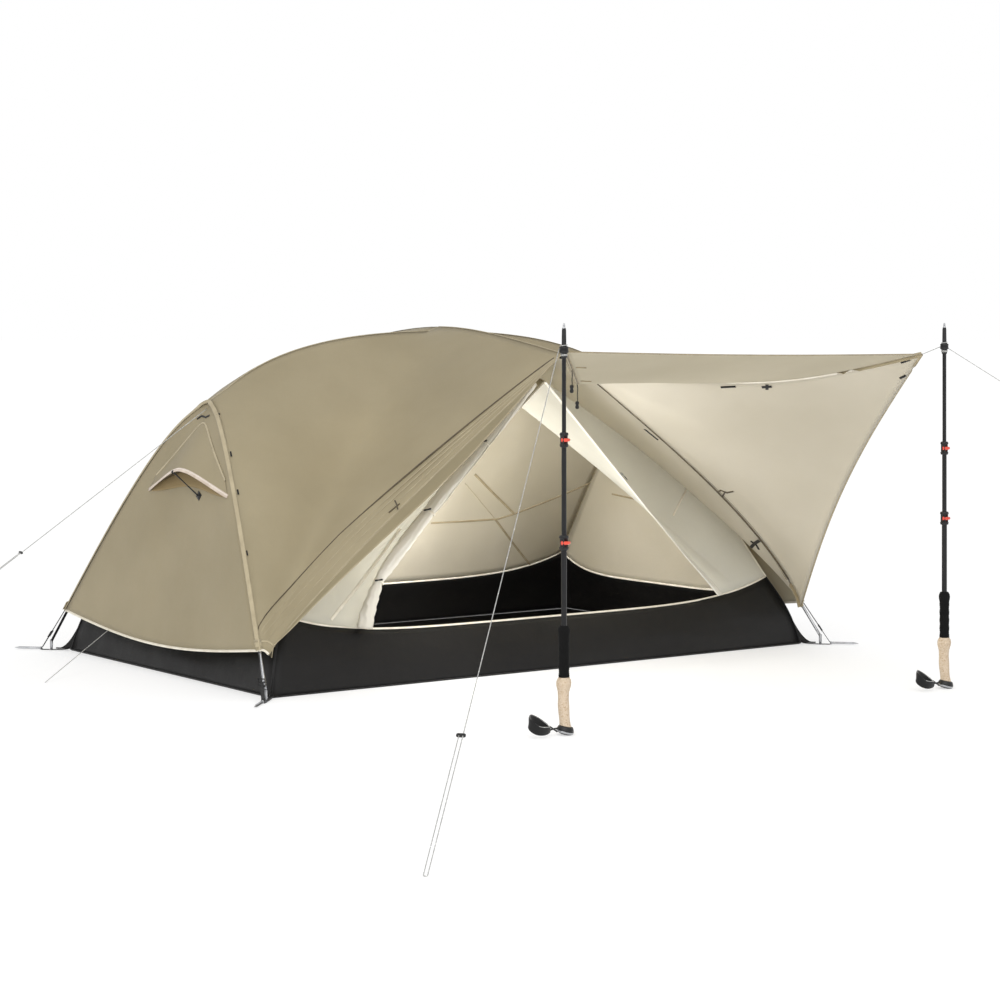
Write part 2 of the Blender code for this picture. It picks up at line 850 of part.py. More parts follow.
def inner_end_grid(x_side):
    front = inner_leg(x_side, -1)
    back = inner_leg(x_side, 1)
    bottom = tub_top("left") if x_side < 0 else tub_top("right")
    if x_side < 0:
        bottom = list(reversed(bottom))
    arch = subdivided([front[-2], front[-1], back[-2]], SHORT_CELLS // 2)
    return coons_grid(bottom, arch, front[:-1], back[:-1])


# Each function below makes one group of pieces.


def make_frame(parts):
    ball = HUB_RADIUS + CLEAR
    for x_side, word in ((-1, "left"), (1, "right")):
        mesh = bmesh.new()
        bmesh.ops.create_icosphere(mesh, subdivisions=2, radius=HUB_RADIUS)
        for vertex in mesh.verts:
            vertex.co += hub_point(x_side)
        finish_mesh(mesh, f"hub_{word}", parts, black_plastic(), hub_point(x_side))
    left_half = cut_start(ridge_curve(-1), ball, POLE_CELLS)
    right_half = cut_start(ridge_curve(1), ball, POLE_CELLS)
    tube("ridge_pole", left_half + right_half[-2::-1], POLE_RADIUS, black_metal(), parts)
    front_half = sampled(brow_curve(-1), POLE_CELLS // 2)
    back_half = sampled(brow_curve(1), POLE_CELLS // 2)
    tube("brow_pole", front_half[::-1] + back_half[1:], POLE_RADIUS, black_metal(), parts)
    for word, (x_side, y_side) in CORNERS.items():
        axis = cut_start(leg_curve(x_side, y_side), ball, POLE_CELLS)
        axis.append(foot_point(x_side, y_side))
        tube(f"leg_pole_{word}", axis, POLE_RADIUS, black_metal(), parts)


def make_fly(parts):
    for word, (x_side, y_side) in CORNERS.items():
        grid = fly_side_grid(x_side, y_side)
        cloth(f"fly_{word}", grid, FLY_SHEET, fly_cloth(), parts)
    for x_side, word in ((-1, "left"), (1, "right")):
        cloth(f"fly_{word}_end", fly_end_grid(x_side), FLY_SHEET, fly_cloth(), parts)
    cloth("awning_roof", awning_roof_grid(), FLY_SHEET, awning_cloth(), parts)
    cloth("awning_wall", awning_wall_grid(), FLY_SHEET, awning_cloth(), parts, thicken_out=False)


def hood_point(end, u, s):
    """A point of the vent hood: s runs from its open mouth up to where it is sewn down."""
    across = (u - HOOD_SPAN[0]) / (HOOD_SPAN[1] - HOOD_SPAN[0])
    arch = math.sin(math.pi * across)
    mouth = HOOD_SKY[0] + HOOD_LOW_SIDE * (arch - 1.0)
    v = mouth + (HOOD_SKY[1] - HOOD_SKY[0]) * s * (0.25 + 0.75 * arch)
    point, out = on_grid(end, u, v)
    lift = FLY_SHEET + CLEAR * 2 + HOOD_STAND * arch * (1.0 - s) ** 1.5
    return point + out * lift, out


def strut_ends(end):
    """The strut's two ends: just under the hood's lip, and on the end panel."""
    stand = STRUT_RADIUS + CLEAR
    base, out = on_grid(end, *STRUT_FOOT)
    foot = base + out * (FLY_SHEET + stand)
    head_u = HOOD_SPAN[0] + (HOOD_SPAN[1] - HOOD_SPAN[0]) * STRUT_HEAD
    lip = hood_point(end, head_u, 0.0)[0] + out * (FLY_SHEET / 2)
    up_hood = (hood_point(end, head_u, 1 / HOOD_ROWS)[0] - lip).normalized()
    lean = (foot - lip).normalized().dot(up_hood)
    return lip - up_hood * (CLEAR * 2 + STRUT_RADIUS * math.sqrt(1.0 - lean * lean)), foot


def make_vent(parts):
    end = fly_end_grid(-1)
    grid = []
    for j in range(HOOD_ROWS + 1):
        row = []
        for i in range(SHORT_CELLS + 1):
            u = HOOD_SPAN[0] + (HOOD_SPAN[1] - HOOD_SPAN[0]) * i / SHORT_CELLS
            row.append(hood_point(end, u, j / HOOD_ROWS)[0])
        grid.append(row)
    cloth("vent_hood", grid, FLY_SHEET, fly_cloth(), parts, inset=0.0)
    head, foot = strut_ends(end)
    strut = tube("vent_strut", [Vector(), foot - head], STRUT_RADIUS, black_plastic(), parts)
    strut.location = head


def make_tub(parts):
    size = Vector((FLOOR_LENGTH, FLOOR_WIDTH, FLOOR_SHEET))
    block("tub_floor", size, Vector((0.0, 0.0, FLOOR_SHEET / 2)), floor_cloth(), parts)
    mesh = bmesh.new()
    loops = [[mesh.verts.new(point) for point in tub_loop(share)] for share in (0.0, 0.5, 1.0)]
    for low, high in zip(loops, loops[1:]):
        count = len(low)
        for i in range(count):
            mesh.faces.new((low[i], low[(i + 1) % count], high[(i + 1) % count], high[i]))
    mesh.normal_update()
    wall = finish_mesh(mesh, "tub_wall", parts, tub_cloth())
    solid = wall.modifiers.new("sheet", "SOLIDIFY")
    solid.thickness = TUB_SHEET
    solid.offset = -1.0


def make_inner(parts):
    cloth("inner_back", inner_back_grid(), INNER_SHEET, inner_cloth(), parts)
    for x_side, word in ((-1, "left"), (1, "right")):
        look = inner_cloth() if x_side < 0 else mesh_cloth()
        cloth(f"inner_front_{word}", inner_front_grid(x_side), INNER_SHEET, look, parts)
        cloth(f"inner_{word}_end", inner_end_grid(x_side), INNER_SHEET, inner_cloth(), parts)


def roll_centre(grid, t):
    """A point on the roll's axis, which lies along the free edge of the inner panel."""
    place, out = on_grid(grid, ROLL_COLUMN, ROLL_END_GAP + (1.0 - 2 * ROLL_END_GAP) * t)
    return place + out * (INNER_SHEET + ROLL_STAND + ROLL_RADIUS + ROLL_FOLD)


def make_door_roll(parts):
    """The inner door rolled up beside its opening, a twisted lobed roll."""
    grid = inner_front_grid(-1)
    mesh = bmesh.new()
    loops = []
    for j in range(ROLL_RINGS + 1):
        t = j / ROLL_RINGS
        centre = roll_centre(grid, t)
        run = (roll_centre(grid, min(t + 0.04, 1.0)) - roll_centre(grid, max(t - 0.04, 0.0))).normalized()
        side = run.cross(Vector((0.0, 1.0, 0.0))).normalized()
        front = side.cross(run)
        loop = []
        for k in range(ROLL_SIDES):
            angle = 2 * math.pi * k / ROLL_SIDES
            lobe = math.cos(ROLL_LOBES * angle + ROLL_TWIST * 2 * math.pi * t)
            spoke = side * math.cos(angle) + front * math.sin(angle)
            loop.append(mesh.verts.new(centre + spoke * (ROLL_RADIUS + ROLL_FOLD * lobe)))
        loops.append(loop)
    for low, high in zip(loops, loops[1:]):
        for k in range(ROLL_SIDES):
            mesh.faces.new((low[k], low[(k + 1) % ROLL_SIDES], high[(k + 1) % ROLL_SIDES], high[k]))
    mesh.faces.new(loops[0])
    mesh.faces.new(loops[-1])
    bmesh.ops.recalc_face_normals(mesh, faces=mesh.faces[:])
    finish_mesh(mesh, "door_roll", parts, roll_cloth())


def make_zip_slider(parts):
    edge = inner_door_edge(1)
    cell = int(SLIDER_PLACE * INNER_CELLS)
    place = edge[cell].lerp(edge[cell + 1], 0.5)
    run = edge[cell + 1] - edge[cell]
    turn = math.atan2(run.x, run.z)
    grid = inner_front_grid(1)
    out = on_grid(grid, 1.0, (cell + 0.5) / INNER_CELLS)[1]
    stand = INNER_SHEET + CLEAR + SLIDER_SIZE.y
    block("door_zip_slider", SLIDER_SIZE, place + out * stand, grey_metal(), parts, (0.0, turn, 0.0))


def make_corner(word, x_side, y_side, parts, cutters):
    """The webbing from tub corner through the pole foot and up to the fly, and its stake."""
    foot = foot_point(x_side, y_side)
    tub_corner = Vector((x_side * FLOOR_LENGTH / 2, y_side * FLOOR_WIDTH / 2, 0.0))
    out = (foot - tub_corner).normalized()
    side = out.cross(UP)
    fly_corner = fly_leg(x_side, y_side)[0]
    low = UP * (WEB_SHEET / 2)
    start = tub_corner + out * CLEAR + low
    fold = foot + out * WEB_REACH + low
    back = fold + UP * WEB_FOLD - out * WEB_FOLD_BACK
    end = fly_corner + out * (FLY_SHEET / 2) - UP * CLEAR
    name = f"corner_webbing_{word}"
    points = [start, foot + low, fold, back, end]
    strap = ribbon(name, points, side, WEB_WIDTH, WEB_SHEET, webbing(), parts)
    mesh = bmesh.new()
    radius = POLE_RADIUS + GROMMET_CLEAR
    bmesh.ops.create_cone(
        mesh, cap_ends=True, segments=GROMMET_SIDES, radius1=radius, radius2=radius, depth=GROMMET_CUT
    )
    cutter = finish_mesh(mesh, f"grommet_hole_{word}", cutters, webbing(), smooth=False)
    cutter.location = foot
    cutter.hide_render = True
    cutter.display_type = "WIRE"
    hole = strap.modifiers.new("grommet", "BOOLEAN")
    hole.object = cutter
    hole.solver = "EXACT"
    head = fold + out * (WEB_SHEET / 2 + CLEAR)
    head.z = STAKE_HEAD_RADIUS
    profile = [
        (0.0, 0.0),
        (STAKE_HEAD_RADIUS, 0.0),
        (STAKE_HEAD_RADIUS, -STAKE_HEAD),
        (STAKE_RADIUS, -STAKE_HEAD),
        (STAKE_RADIUS, STAKE_POINT - STAKE_LENGTH),
        (0.0, -STAKE_LENGTH),
    ]
    stake = turned(f"stake_{word}", profile, head, grey_metal(), parts, steps=STAKE_STEPS)
    stake.rotation_mode = "QUATERNION"
    stake.rotation_quaternion = (-out).to_track_quat("Z", "Y")


def line_points(start, end, tensioner_share, side):
    """A guyline: single down to its tensioner, then doubled round a loop at its end."""
    half = LINE_STRAND_GAP / 2
    run = (end - start).normalized()
    knot = start.lerp(end, tensioner_share)
    near = knot - side * half
    far = knot + side * half
    turn_centre = end - run * half
    down = [start.lerp(near, i / LINE_CELLS) for i in range(LINE_CELLS)]
    first = [near.lerp(turn_centre - side * half, i / LOOP_CELLS) for i in range(LOOP_CELLS)]
    loop = []
    for k in range(LOOP_CELLS + 1):
        angle = math.pi * k / LOOP_CELLS
        loop.append(turn_centre - side * half * math.cos(angle) + run * half * math.sin(angle))
    second = [(turn_centre + side * half).lerp(far, i / LOOP_CELLS) for i in range(1, LOOP_CELLS + 1)]
    return down + first + loop + second + [far - run * TENSIONER_SHEET]


def make_tensioner(name, start, end, share, side, parts):
    """A flat bar with two holes, one for each strand of the doubled line."""
    run = (end - start).normalized()
    data = bpy.data.curves.new(name, "CURVE")
    data.dimensions = "2D"
    data.fill_mode = "BOTH"
    data.extrude = TENSIONER_SHEET / 2
    end_radius = TENSIONER_WIDTH / 2
    half_straight = TENSIONER_LENGTH / 2 - end_radius
    outline = []
    for k in range(TENSIONER_END_CELLS + 1):
        angle = math.pi * (k / TENSIONER_END_CELLS - 0.5)
        outline.append((half_straight + end_radius * math.cos(angle), end_radius * math.sin(angle)))
    outline += [(-x, -y) for x, y in outline]
    loops = [outline]
    for centre_x in (-LINE_STRAND_GAP / 2, LINE_STRAND_GAP / 2):
        hole = []
        for k in range(TENSIONER_HOLE_SIDES):
            angle = 2 * math.pi * k / TENSIONER_HOLE_SIDES
            hole.append((centre_x + TENSIONER_HOLE * math.cos(angle), TENSIONER_HOLE * math.sin(angle)))
        loops.append(hole)
    for loop in loops:
        spline = data.splines.new("POLY")
        spline.use_cyclic_u = True
        spline.points.add(len(loop) - 1)
        for slot, (x, y) in zip(spline.points, loop):
            slot.co = (x, y, 0.0, 1.0)
    data.materials.append(black_plastic())
    made = bpy.data.objects.new(name, data)
    parts.objects.link(made)
    made.location = start.lerp(end, share)
    made.rotation_mode = "QUATERNION"
    made.rotation_quaternion = Matrix((side, run.cross(side), run)).transposed().to_quaternion()


def make_lines(parts):
    lead = round_basket(0, AWNING_LEFT, FRONT_LINE_END, 1)
    tie = lead[-1]
    side = (FRONT_LINE_END - tie).cross(UP).normalized()
    front = line_points(tie, FRONT_LINE_END, FRONT_TENSIONER, side)
    tube("guyline_front", lead[:-1] + front, LINE_RADIUS, guy_cord(), parts)
    make_tensioner("line_tensioner_front", tie, FRONT_LINE_END, FRONT_TENSIONER, side, parts)
    lead = round_basket(1, AWNING_RIGHT, RIGHT_LINE_END, -1)
    far = [lead[-1].lerp(RIGHT_LINE_END, i / SHORT_CELLS) for i in range(1, SHORT_CELLS + 1)]
    tube("guyline_right", lead + far, LINE_RADIUS, guy_cord(), parts)
    end_panel = fly_end_grid(-1)
    surface, out = on_grid(end_panel, 0.5, LEFT_LINE_ROW)
    tie = surface + out * (FLY_SHEET + LINE_RADIUS + CLEAR)
    side = Vector((0.0, 1.0, 0.0))
    left = line_points(tie, LEFT_LINE_END, LEFT_TENSIONER, side)
    tube("guyline_left", left, LINE_RADIUS, guy_cord(), parts)
    make_tensioner("line_tensioner_left", tie, LEFT_LINE_END, LEFT_TENSIONER, side, parts)
    hem = end_panel[0][HEM_CORD_COLUMN] + Vector((-FLY_SHEET / 2, 0.0, -LINE_RADIUS))
    cord = [hem.lerp(HEM_CORD_END, i / SHORT_CELLS) for i in range(SHORT_CELLS + 1)]
    tube("hem_cord", cord, LINE_RADIUS, guy_cord(), parts)


def round_basket(which, corner, far_end, turn):
    """The cord's way from an awning corner round the side of a pole's basket collar.

    It touches the collar's rim along a short arc; turn is 1 for a way round against the clock.
    """
    axis = POLE_PLACES[which] + UP * (POLE_TIPS[which] - BASKET_DROP)
    radius = BASKET_RADIUS + LINE_RADIUS + CLEAR
    angles = []
    for point, sign in ((corner, turn), (far_end, -turn)):
        away = point - axis
        away.z = 0.0
        heading = math.atan2(away.y, away.x)
        angles.append(heading + sign * math.acos(radius / away.length))
    sweep = (angles[1] - angles[0]) * turn % (2 * math.pi) * turn
    cells = 4
    arc = []
    for i in range(cells + 1):
        angle = angles[0] + sweep * i / cells
        arc.append(axis + Vector((math.cos(angle), math.sin(angle), 0.0)) * radius)
    start = corner + (arc[0] - corner).normalized() * CLEAR / 2
    return [start, start.lerp(arc[0], 0.5)] + arc


def lock_lever(name, place, radius, look, parts):
    """A flick lever on a lock collar, with its origin on the upright hinge pin."""
    mesh = bmesh.new()
    bmesh.ops.create_cube(mesh, size=1.0)
    bmesh.ops.scale(mesh, vec=(LEVER_LENGTH, LEVER_SHEET, LEVER_HEIGHT), verts=mesh.verts)
    pin = place + Vector((-LEVER_LENGTH / 2, -(radius + LEVER_SHEET / 2 + CLEAR), 0.0))
    for vertex in mesh.verts:
        vertex.co += pin + Vector((LEVER_LENGTH / 2, 0.0, 0.0))
    made = finish_mesh(mesh, name, parts, look, pin, smooth=False)
    edge = made.modifiers.new("soft_edges", "BEVEL")
    edge.width = LEVER_EDGE
    edge.segments = 1


def make_trekking_pole(number, parts):
    place = POLE_PLACES[number - 1]
    tip = POLE_TIPS[number - 1]
    upper = POLE_UPPER_LOCKS[number - 1]
    name = f"trekking_pole_{number}"
    half = LOCK_HEIGHT / 2
    grip_bore = GRIP_TUBE - TUBE_WALL
    middle_bore = MIDDLE_TUBE - TUBE_WALL
    tip_bore = TIP_TUBE - TUBE_WALL
    lock_1 = GRIP_TUBE + LOCK_WALL
    lock_2 = MIDDLE_TUBE + LOCK_WALL
    shaft_low = CAP_HEIGHT + SHAFT_IN_CAP
    grip_profile = [
        (grip_bore, LOWER_LOCK + half),
        (lock_1, LOWER_LOCK + half),
        (lock_1, LOWER_LOCK - half),
        (GRIP_TUBE, LOWER_LOCK - half),
        (GRIP_TUBE, shaft_low),
        (grip_bore, shaft_low),
    ]
    turned(f"{name}_grip_shaft", grip_profile, place, black_metal(), parts)
    middle_low = LOWER_LOCK - TUBE_OVERLAP
    middle_profile = [
        (middle_bore, upper + half),
        (lock_2, upper + half),
        (lock_2, upper - half),
        (MIDDLE_TUBE, upper - half),
        (MIDDLE_TUBE, middle_low),
        (middle_bore, middle_low),
    ]
    turned(f"{name}_middle_section", middle_profile, place, grey_metal(), parts)
    tip_low = upper - TUBE_OVERLAP
    basket = tip - BASKET_DROP
    tip_profile = [
        (0.0, tip),
        (TIP_POINT_RADIUS, tip - TIP_POINT),
        (TIP_POINT_RADIUS + TIP_POINT, tip - TIP_SHOULDER),
        (TIP_CONE_RADIUS, tip - TIP_CONE),
        (TIP_CONE_RADIUS, basket + BASKET_ROOT),
        (BASKET_RADIUS, basket + BASKET_RIM),
        (BASKET_RADIUS, basket - BASKET_RIM),
        (TIP_TUBE, basket - BASKET_ROOT),
        (TIP_TUBE, tip_low),
        (tip_bore, tip_low),
        (tip_bore, basket),
        (0.0, basket),
    ]
    turned(f"{name}_tip_section", tip_profile, place, grey_metal(), parts)
    lock_lever(f"{name}_lower_lever", place + UP * LOWER_LOCK, lock_1, red_plastic(), parts)
    lock_lever(f"{name}_upper_lever", place + UP * upper, lock_2, red_plastic(), parts)
    bore = GRIP_TUBE + CLEAR
    foam_profile = [
        (bore, FOAM_TOP),
        (FOAM_RADIUS, FOAM_TOP),
        (FOAM_COLLAR, FOAM_TOP - FOAM_COLLAR_TOP),
        (FOAM_COLLAR, FOAM_TOP - FOAM_COLLAR_LOW),
        (FOAM_RADIUS, FOAM_TOP - FOAM_NECK),
        (FOAM_RADIUS, CORK_TOP + CLEAR),
        (bore, CORK_TOP + CLEAR),
    ]
    turned(f"{name}_foam_grip", foam_profile, place, foam(), parts)
    cork_low = CAP_HEIGHT + CLEAR
    cork_profile = [(bore, CORK_TOP)]
    cork_profile += [(radius, CORK_TOP - drop) for radius, drop in CORK_SHAPE]
    cork_profile += [(CORK_FOOT, cork_low + CORK_FOOT_RISE), (CORK_FOOT, cork_low), (bore, cork_low)]
    turned(f"{name}_cork_grip", cork_profile, place, cork(), parts)
    cap_profile = [
        (0.0, CAP_HEIGHT),
        (CAP_RADIUS - CAP_EDGE, CAP_HEIGHT),
        (CAP_RADIUS, CAP_HEIGHT - CAP_EDGE),
        (CAP_RADIUS, CAP_EDGE),
        (CAP_RADIUS - CAP_EDGE, 0.0),
        (0.0, 0.0),
    ]
    turned(f"{name}_grip_cap", cap_profile, place, black_plastic(), parts)
    make_strap(f"{name}_wrist_strap", place, parts)


def make_strap(name, place, parts):
    """A padded loop of webbing that hangs beside the grip cap and rests on the ground."""
    low = STRAP_WIDTH / 2 + STRAP_LOW
    start = place + Vector((-CAP_RADIUS - CLEAR, 0.0, low))
    apart = Vector((0.0, STRAP_SHEET / 2 + CLEAR, 0.0))
    points = [start - apart]
    reach = STRAP_REACH / 2
    for k in range(1, STRAP_CELLS):
        angle = 2 * math.pi * k / STRAP_CELLS
        away = STRAP_NECK + reach - reach * math.cos(angle)
        points.append(start + Vector((-away, -STRAP_BELLY * math.sin(angle), STRAP_TILT * away)))
    points.append(start + apart)
    ribbon(name, points, UP, STRAP_WIDTH, STRAP_SHEET, webbing(), parts, place)


def main():
    clear_scene()
    parts = new_collection("backpacking_tent")
    cutters = new_collection("cutters")
    make_frame(parts)
    make_fly(parts)
    make_vent(parts)
    make_tub(parts)
    make_inner(parts)
    make_door_roll(parts)
    make_zip_slider(parts)
    for word, (x_side, y_side) in CORNERS.items():
        make_corner(word, x_side, y_side, parts, cutters)
    make_lines(parts)
    make_trekking_pole(1, parts)
    make_trekking_pole(2, parts)


main()
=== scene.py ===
"""The looks of the pitched two-person tent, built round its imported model.

Same frame as the model: the origin is on the ground under the middle of the floor, +X runs to the
tent's right end, -Y is the side of the open door, and +Z is up. Sizes are in metres.
"""

import math

import bmesh
import bpy
from mathutils import Matrix, Vector, noise
from mathutils.bvhtree import BVHTree


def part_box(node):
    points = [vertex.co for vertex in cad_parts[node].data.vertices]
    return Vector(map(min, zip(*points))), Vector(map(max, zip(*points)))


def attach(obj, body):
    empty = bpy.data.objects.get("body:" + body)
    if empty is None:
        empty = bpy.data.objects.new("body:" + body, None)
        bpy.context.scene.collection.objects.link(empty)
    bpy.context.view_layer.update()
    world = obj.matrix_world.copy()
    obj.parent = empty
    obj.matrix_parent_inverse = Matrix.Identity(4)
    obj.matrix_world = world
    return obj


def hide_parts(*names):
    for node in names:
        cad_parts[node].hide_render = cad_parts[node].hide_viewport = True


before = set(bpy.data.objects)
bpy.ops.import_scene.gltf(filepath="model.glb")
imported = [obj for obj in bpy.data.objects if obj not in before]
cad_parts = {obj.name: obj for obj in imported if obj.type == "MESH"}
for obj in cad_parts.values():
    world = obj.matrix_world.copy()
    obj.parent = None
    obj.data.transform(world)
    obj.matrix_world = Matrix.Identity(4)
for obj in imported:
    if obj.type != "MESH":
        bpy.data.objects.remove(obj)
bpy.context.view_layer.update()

# Camera, set to the photograph's 1000 x 1000 frame
PICTURE = 1000
SENSOR = 36.0
LENS = 88.15
SHIFT_UP = -0.173
EYE = Vector((-4.8346, -7.0249, 1.1145))
HEADING = math.radians(-35.958)
FOCAL = LENS / SENSOR * PICTURE
HORIZON = PICTURE * (0.5 + SHIFT_UP)

# Sizes repeated from the model's source
CLEAR = 0.0003
FLOOR_LENGTH = 2.15
FLOOR_WIDTH = 1.35
FLOOR_SHEET = 0.002
TUB_SEAM_RISE = 0.0008
TUB_LEAN = 0.085
TUB_BELLY = 0.012
TUB_SIDE_HEIGHT = 0.160
TUB_CORNER_HEIGHT = 0.235
TONGUE_TOP = 4
TONGUE_DIP = 0.022
POLE_RADIUS = 0.0045
FOOT_OUT = 0.05
FOOT_TIP = 0.030
HUB_SPAN = 1.80
HUB_HEIGHT = 0.850
RIDGE_HEIGHT = 1.090
RIDGE_SHOULDER_IN = 0.160
RIDGE_SHOULDER_UP = 0.175
RIDGE_CROWN = 0.430
BROW_REACH = 0.700
BROW_DROP = 0.075
BROW_DIP = 0.018
LEG_SHOULDER = 0.180
LEG_FOOT_LEAN = 0.250
LEG_FOOT_RISE = 0.350
FLY_SHEET = 0.0020
SEAM_LIFT = 0.009
SEAM_END_LEAN = 0.6
BROW_LIFT = 0.0150
BROW_LEAN = 0.6
HUB_LIFT = 0.0240
HUB_LIFT_LEAN = 0.35
HUB_LIFT_REACH = 0.050
HEM_CORNER = 0.140
HEM_CENTRE = 0.090
HEM_BOW = 0.030
DOOR_HEM_BOW = 0.006
DOOR_FOOT = 0.026
DOOR_EDGE_BOW = 0.020
DOOR_SEAM_BOW = 0.050
BACK_STAKE_OUT = 1.380
BACK_STAKE_RISE = 0.060
AWNING_LEFT = Vector((-0.735, -1.680, 1.045))
AWNING_RIGHT = Vector((0.638, -1.690, 1.030))
AWNING_ZIP_SAG = 0.095
AWNING_SEAM_SAG = 0.090
AWNING_FRONT_SAG = 0.006
AWNING_HEM_BOW = 0.045
AWNING_WALL_SAG = 0.020
HOOD_SPAN = (0.06, 0.84)
HOOD_SKY = (0.585, 0.830)
HOOD_STAND = 0.045
HOOD_LOW_SIDE = 0.09
STRUT_RADIUS = 0.003
STRUT_FOOT = (0.35, 0.50)
STRUT_HEAD = 0.625
VENT_NET_DEPTH = 0.055
INNER_SHEET = 0.0015
INNER_HUB_IN = 0.030
INNER_HUB_DROP = 0.070
INNER_RIDGE_DROP = 0.055
INNER_BROW_REACH = 0.610
INNER_BROW_DROP = 0.155
INNER_SHOULDER = 0.150
INNER_FOOT_LEAN = 0.170
INNER_FOOT_RISE = 0.200
INNER_ZIP_BOW = 0.016
MESH_ROWS = 21
INNER_ROLL_BOW = 0.038
ROLL_RADIUS = 0.019
ROLL_FOLD = 0.004
ROLL_COLUMN = 1.0
ROLL_STAND = 0.0006
ROLL_END_GAP = 0.035
ROLL_LOW = 0.004
LINE_RADIUS = 0.0012
LINE_STRAND_GAP = 0.0090
TENSIONER_SHEET = 0.004
FRONT_LINE_END = Vector((-2.044, -2.920, 0.0016))
FRONT_TENSIONER = 0.787
LEFT_LINE_END = Vector((-1.740, 0.0, 0.306))
LEFT_TENSIONER = 0.800
LEFT_LINE_ROW = 0.930
RIGHT_LINE_END = Vector((1.000, -2.080, 0.760))
HEM_CORD_END = Vector((-1.485, 0.018, 0.0016))
HEM_CORD_SHARE = 0.75
POLE_PLACES = (Vector((-0.763, -1.710, 0.0)), Vector((0.710, -1.716, 0.0)))
POLE_UPPER_LOCKS = (0.806, 0.741)
POLE_TIPS = (1.125, 1.127)
LOWER_LOCK = 0.525
BASKET_DROP = 0.072
BASKET_RADIUS = 0.0125
CAP_RADIUS = 0.0235
FOAM_TOP = 0.297
STRAP_WIDTH = 0.022
STRAP_REACH = 0.085
STRAP_LOW = 0.004
STRAP_NECK = 0.006
STRAP_BELLY = 0.017
STRAP_TILT = 0.28
STRAP_TURN = 0.018
STRAP_THIN = 0.020
ASIDE = Vector((0.8095, -0.5872, 0.0))

# Cells of the cloth grids, four times the model's
FINE = 4
RIDGE_CELLS = 7 * FINE
BROW_CELLS = 5 * FINE
BACK_BROW_CELLS = 4 * FINE
LEG_CELLS = 12 * FINE
INNER_CELLS = 8 * FINE
LONG_CELLS = 14 * FINE
SHORT_CELLS = 8 * FINE
DOORWAY_FIRST = 2 * FINE
DOORWAY_TURN = 12 * FINE
DOORWAY_LAST = DOORWAY_TURN + 2

UP = Vector((0.0, 0.0, 1.0))
AXES = (Vector((1.0, 0.0, 0.0)), Vector((0.0, 1.0, 0.0)), UP)
INSIDE = Vector((0.0, 0.0, 0.35))
CORNERS = {"front_left": (-1, -1), "front_right": (1, -1), "back_left": (-1, 1), "back_right": (1, 1)}

# Where the tub's loop of cells turns each corner
CORNER_CELLS = {
    "front_left": 0,
    "front_right": LONG_CELLS,
    "back_right": LONG_CELLS + SHORT_CELLS,
    "back_left": 2 * LONG_CELLS + SHORT_CELLS,
}

# Cloth: its thickness, and the most and least share of its flat size that a panel fills
CLOTH = 0.0008
FULL_SHARE = 0.98
LEAST_SHARE = 0.31

# Patterns of tape, webbing and zips
STITCH_ROWS = (0.18, 0.82)
STITCH_PITCH = 0.0045
TAPE_RIB = 0.0014
ZIP_PITCH = 0.0026

# The fly, its storm flap and the vent; a fold is told by its distance from the door's edge
FLY_ROUNDS = 40
FLAP_FOOT = 0.016
FLAP_SWELL = 0.052
FLAP_LAP = 0.004
# The last line is the zip tape, dark for the shadow line beside it too, partly painted shadow.
FLAP_FOLDS = {"flap_fold_1": 0.026, "flap_fold_2": 0.046, "flap_fold_3": 0.062, "door_zip_tape_and_shadow": 0.082}
INSIDE_LIFT = 0.0012
BACK_ZIP_LIFT = 0.0046
# The vent's net patch reaches down the end panel below the mouth, where its brown is painted shadow.
VENT_NET_LAP = 0.02
VENT_NET_SPAN = (0.02, 0.98)
VENT_NET_ROWS = 8
VENT_NET_STAND = 0.0006
STRUT_ROD = 0.0026
STRUT_KNOB_BACK = 0.0035
VENT_PATCH = (0.030, 0.022, 0.0012)
VENT_PATCH_LIFT = 0.0008
CORNER_PATCH = (0.034, 0.022, 0.0014)
CORNER_PATCH_IN = 0.018
CORNER_PATCH_LIFT = 0.0040
LINE_RISE_AND_LIFT = (0.0012, 0.0008)
MARK_RISE_AND_LIFT = (0.0024, 0.0010)

# The tub and its gussets
FLOOR_CELLS = (60, 40)
FLOOR_RUMPLE = 0.0006
WALL_CELL = (0.04, 0.02)
WALL_RUMPLES = (0.0035, 0.0022)
CREASE_REACH = 2.2
CREASE_DEPTH = 0.006
CREASE_WIDTH = 0.16
TONGUE_SHORT = 0.016
TONGUE_LOW = 0.0050

# The rolled door; a flare or a pinch is its size and its reach in shares
ROLL_RINGS = 120
ROLL_STEPS = 92
ROLL_TURNS = 2.6
ROLL_TIES = (0.14, 0.42, 0.72)
ROLL_SHEET = 0.0006
ROLL_FOOT_SIZE = 1.06
ROLL_TAPER = 0.62
ROLL_FLARE = (0.35, 0.06)
ROLL_TIE_PINCH = (0.16, 0.016)
ROLL_SWELL_FROM = 0.16
ROLL_ASIDE = 0.020
ROLL_WIDER = 0.9
ROLL_FLATTER = 0.22
ROLL_TWIST = 0.55
ROLL_CORE = 0.42
ROLL_CELL = (0.004, 0.0075)
ROLL_RIBBON = (0.0008, 0.0030)

# Hubs and the poles' fittings
HUB_CORE = (0.020, 0.020, 0.014)
HUB_RIDGE_SHARE = 0.06
HUB_LEG_SHARE = 0.05
FERRULE_SHARES = (0.42, 0.78)
SLEEVE_SHARES = (0.86, 0.995)
SLEEVE_RADIUS = 0.0047

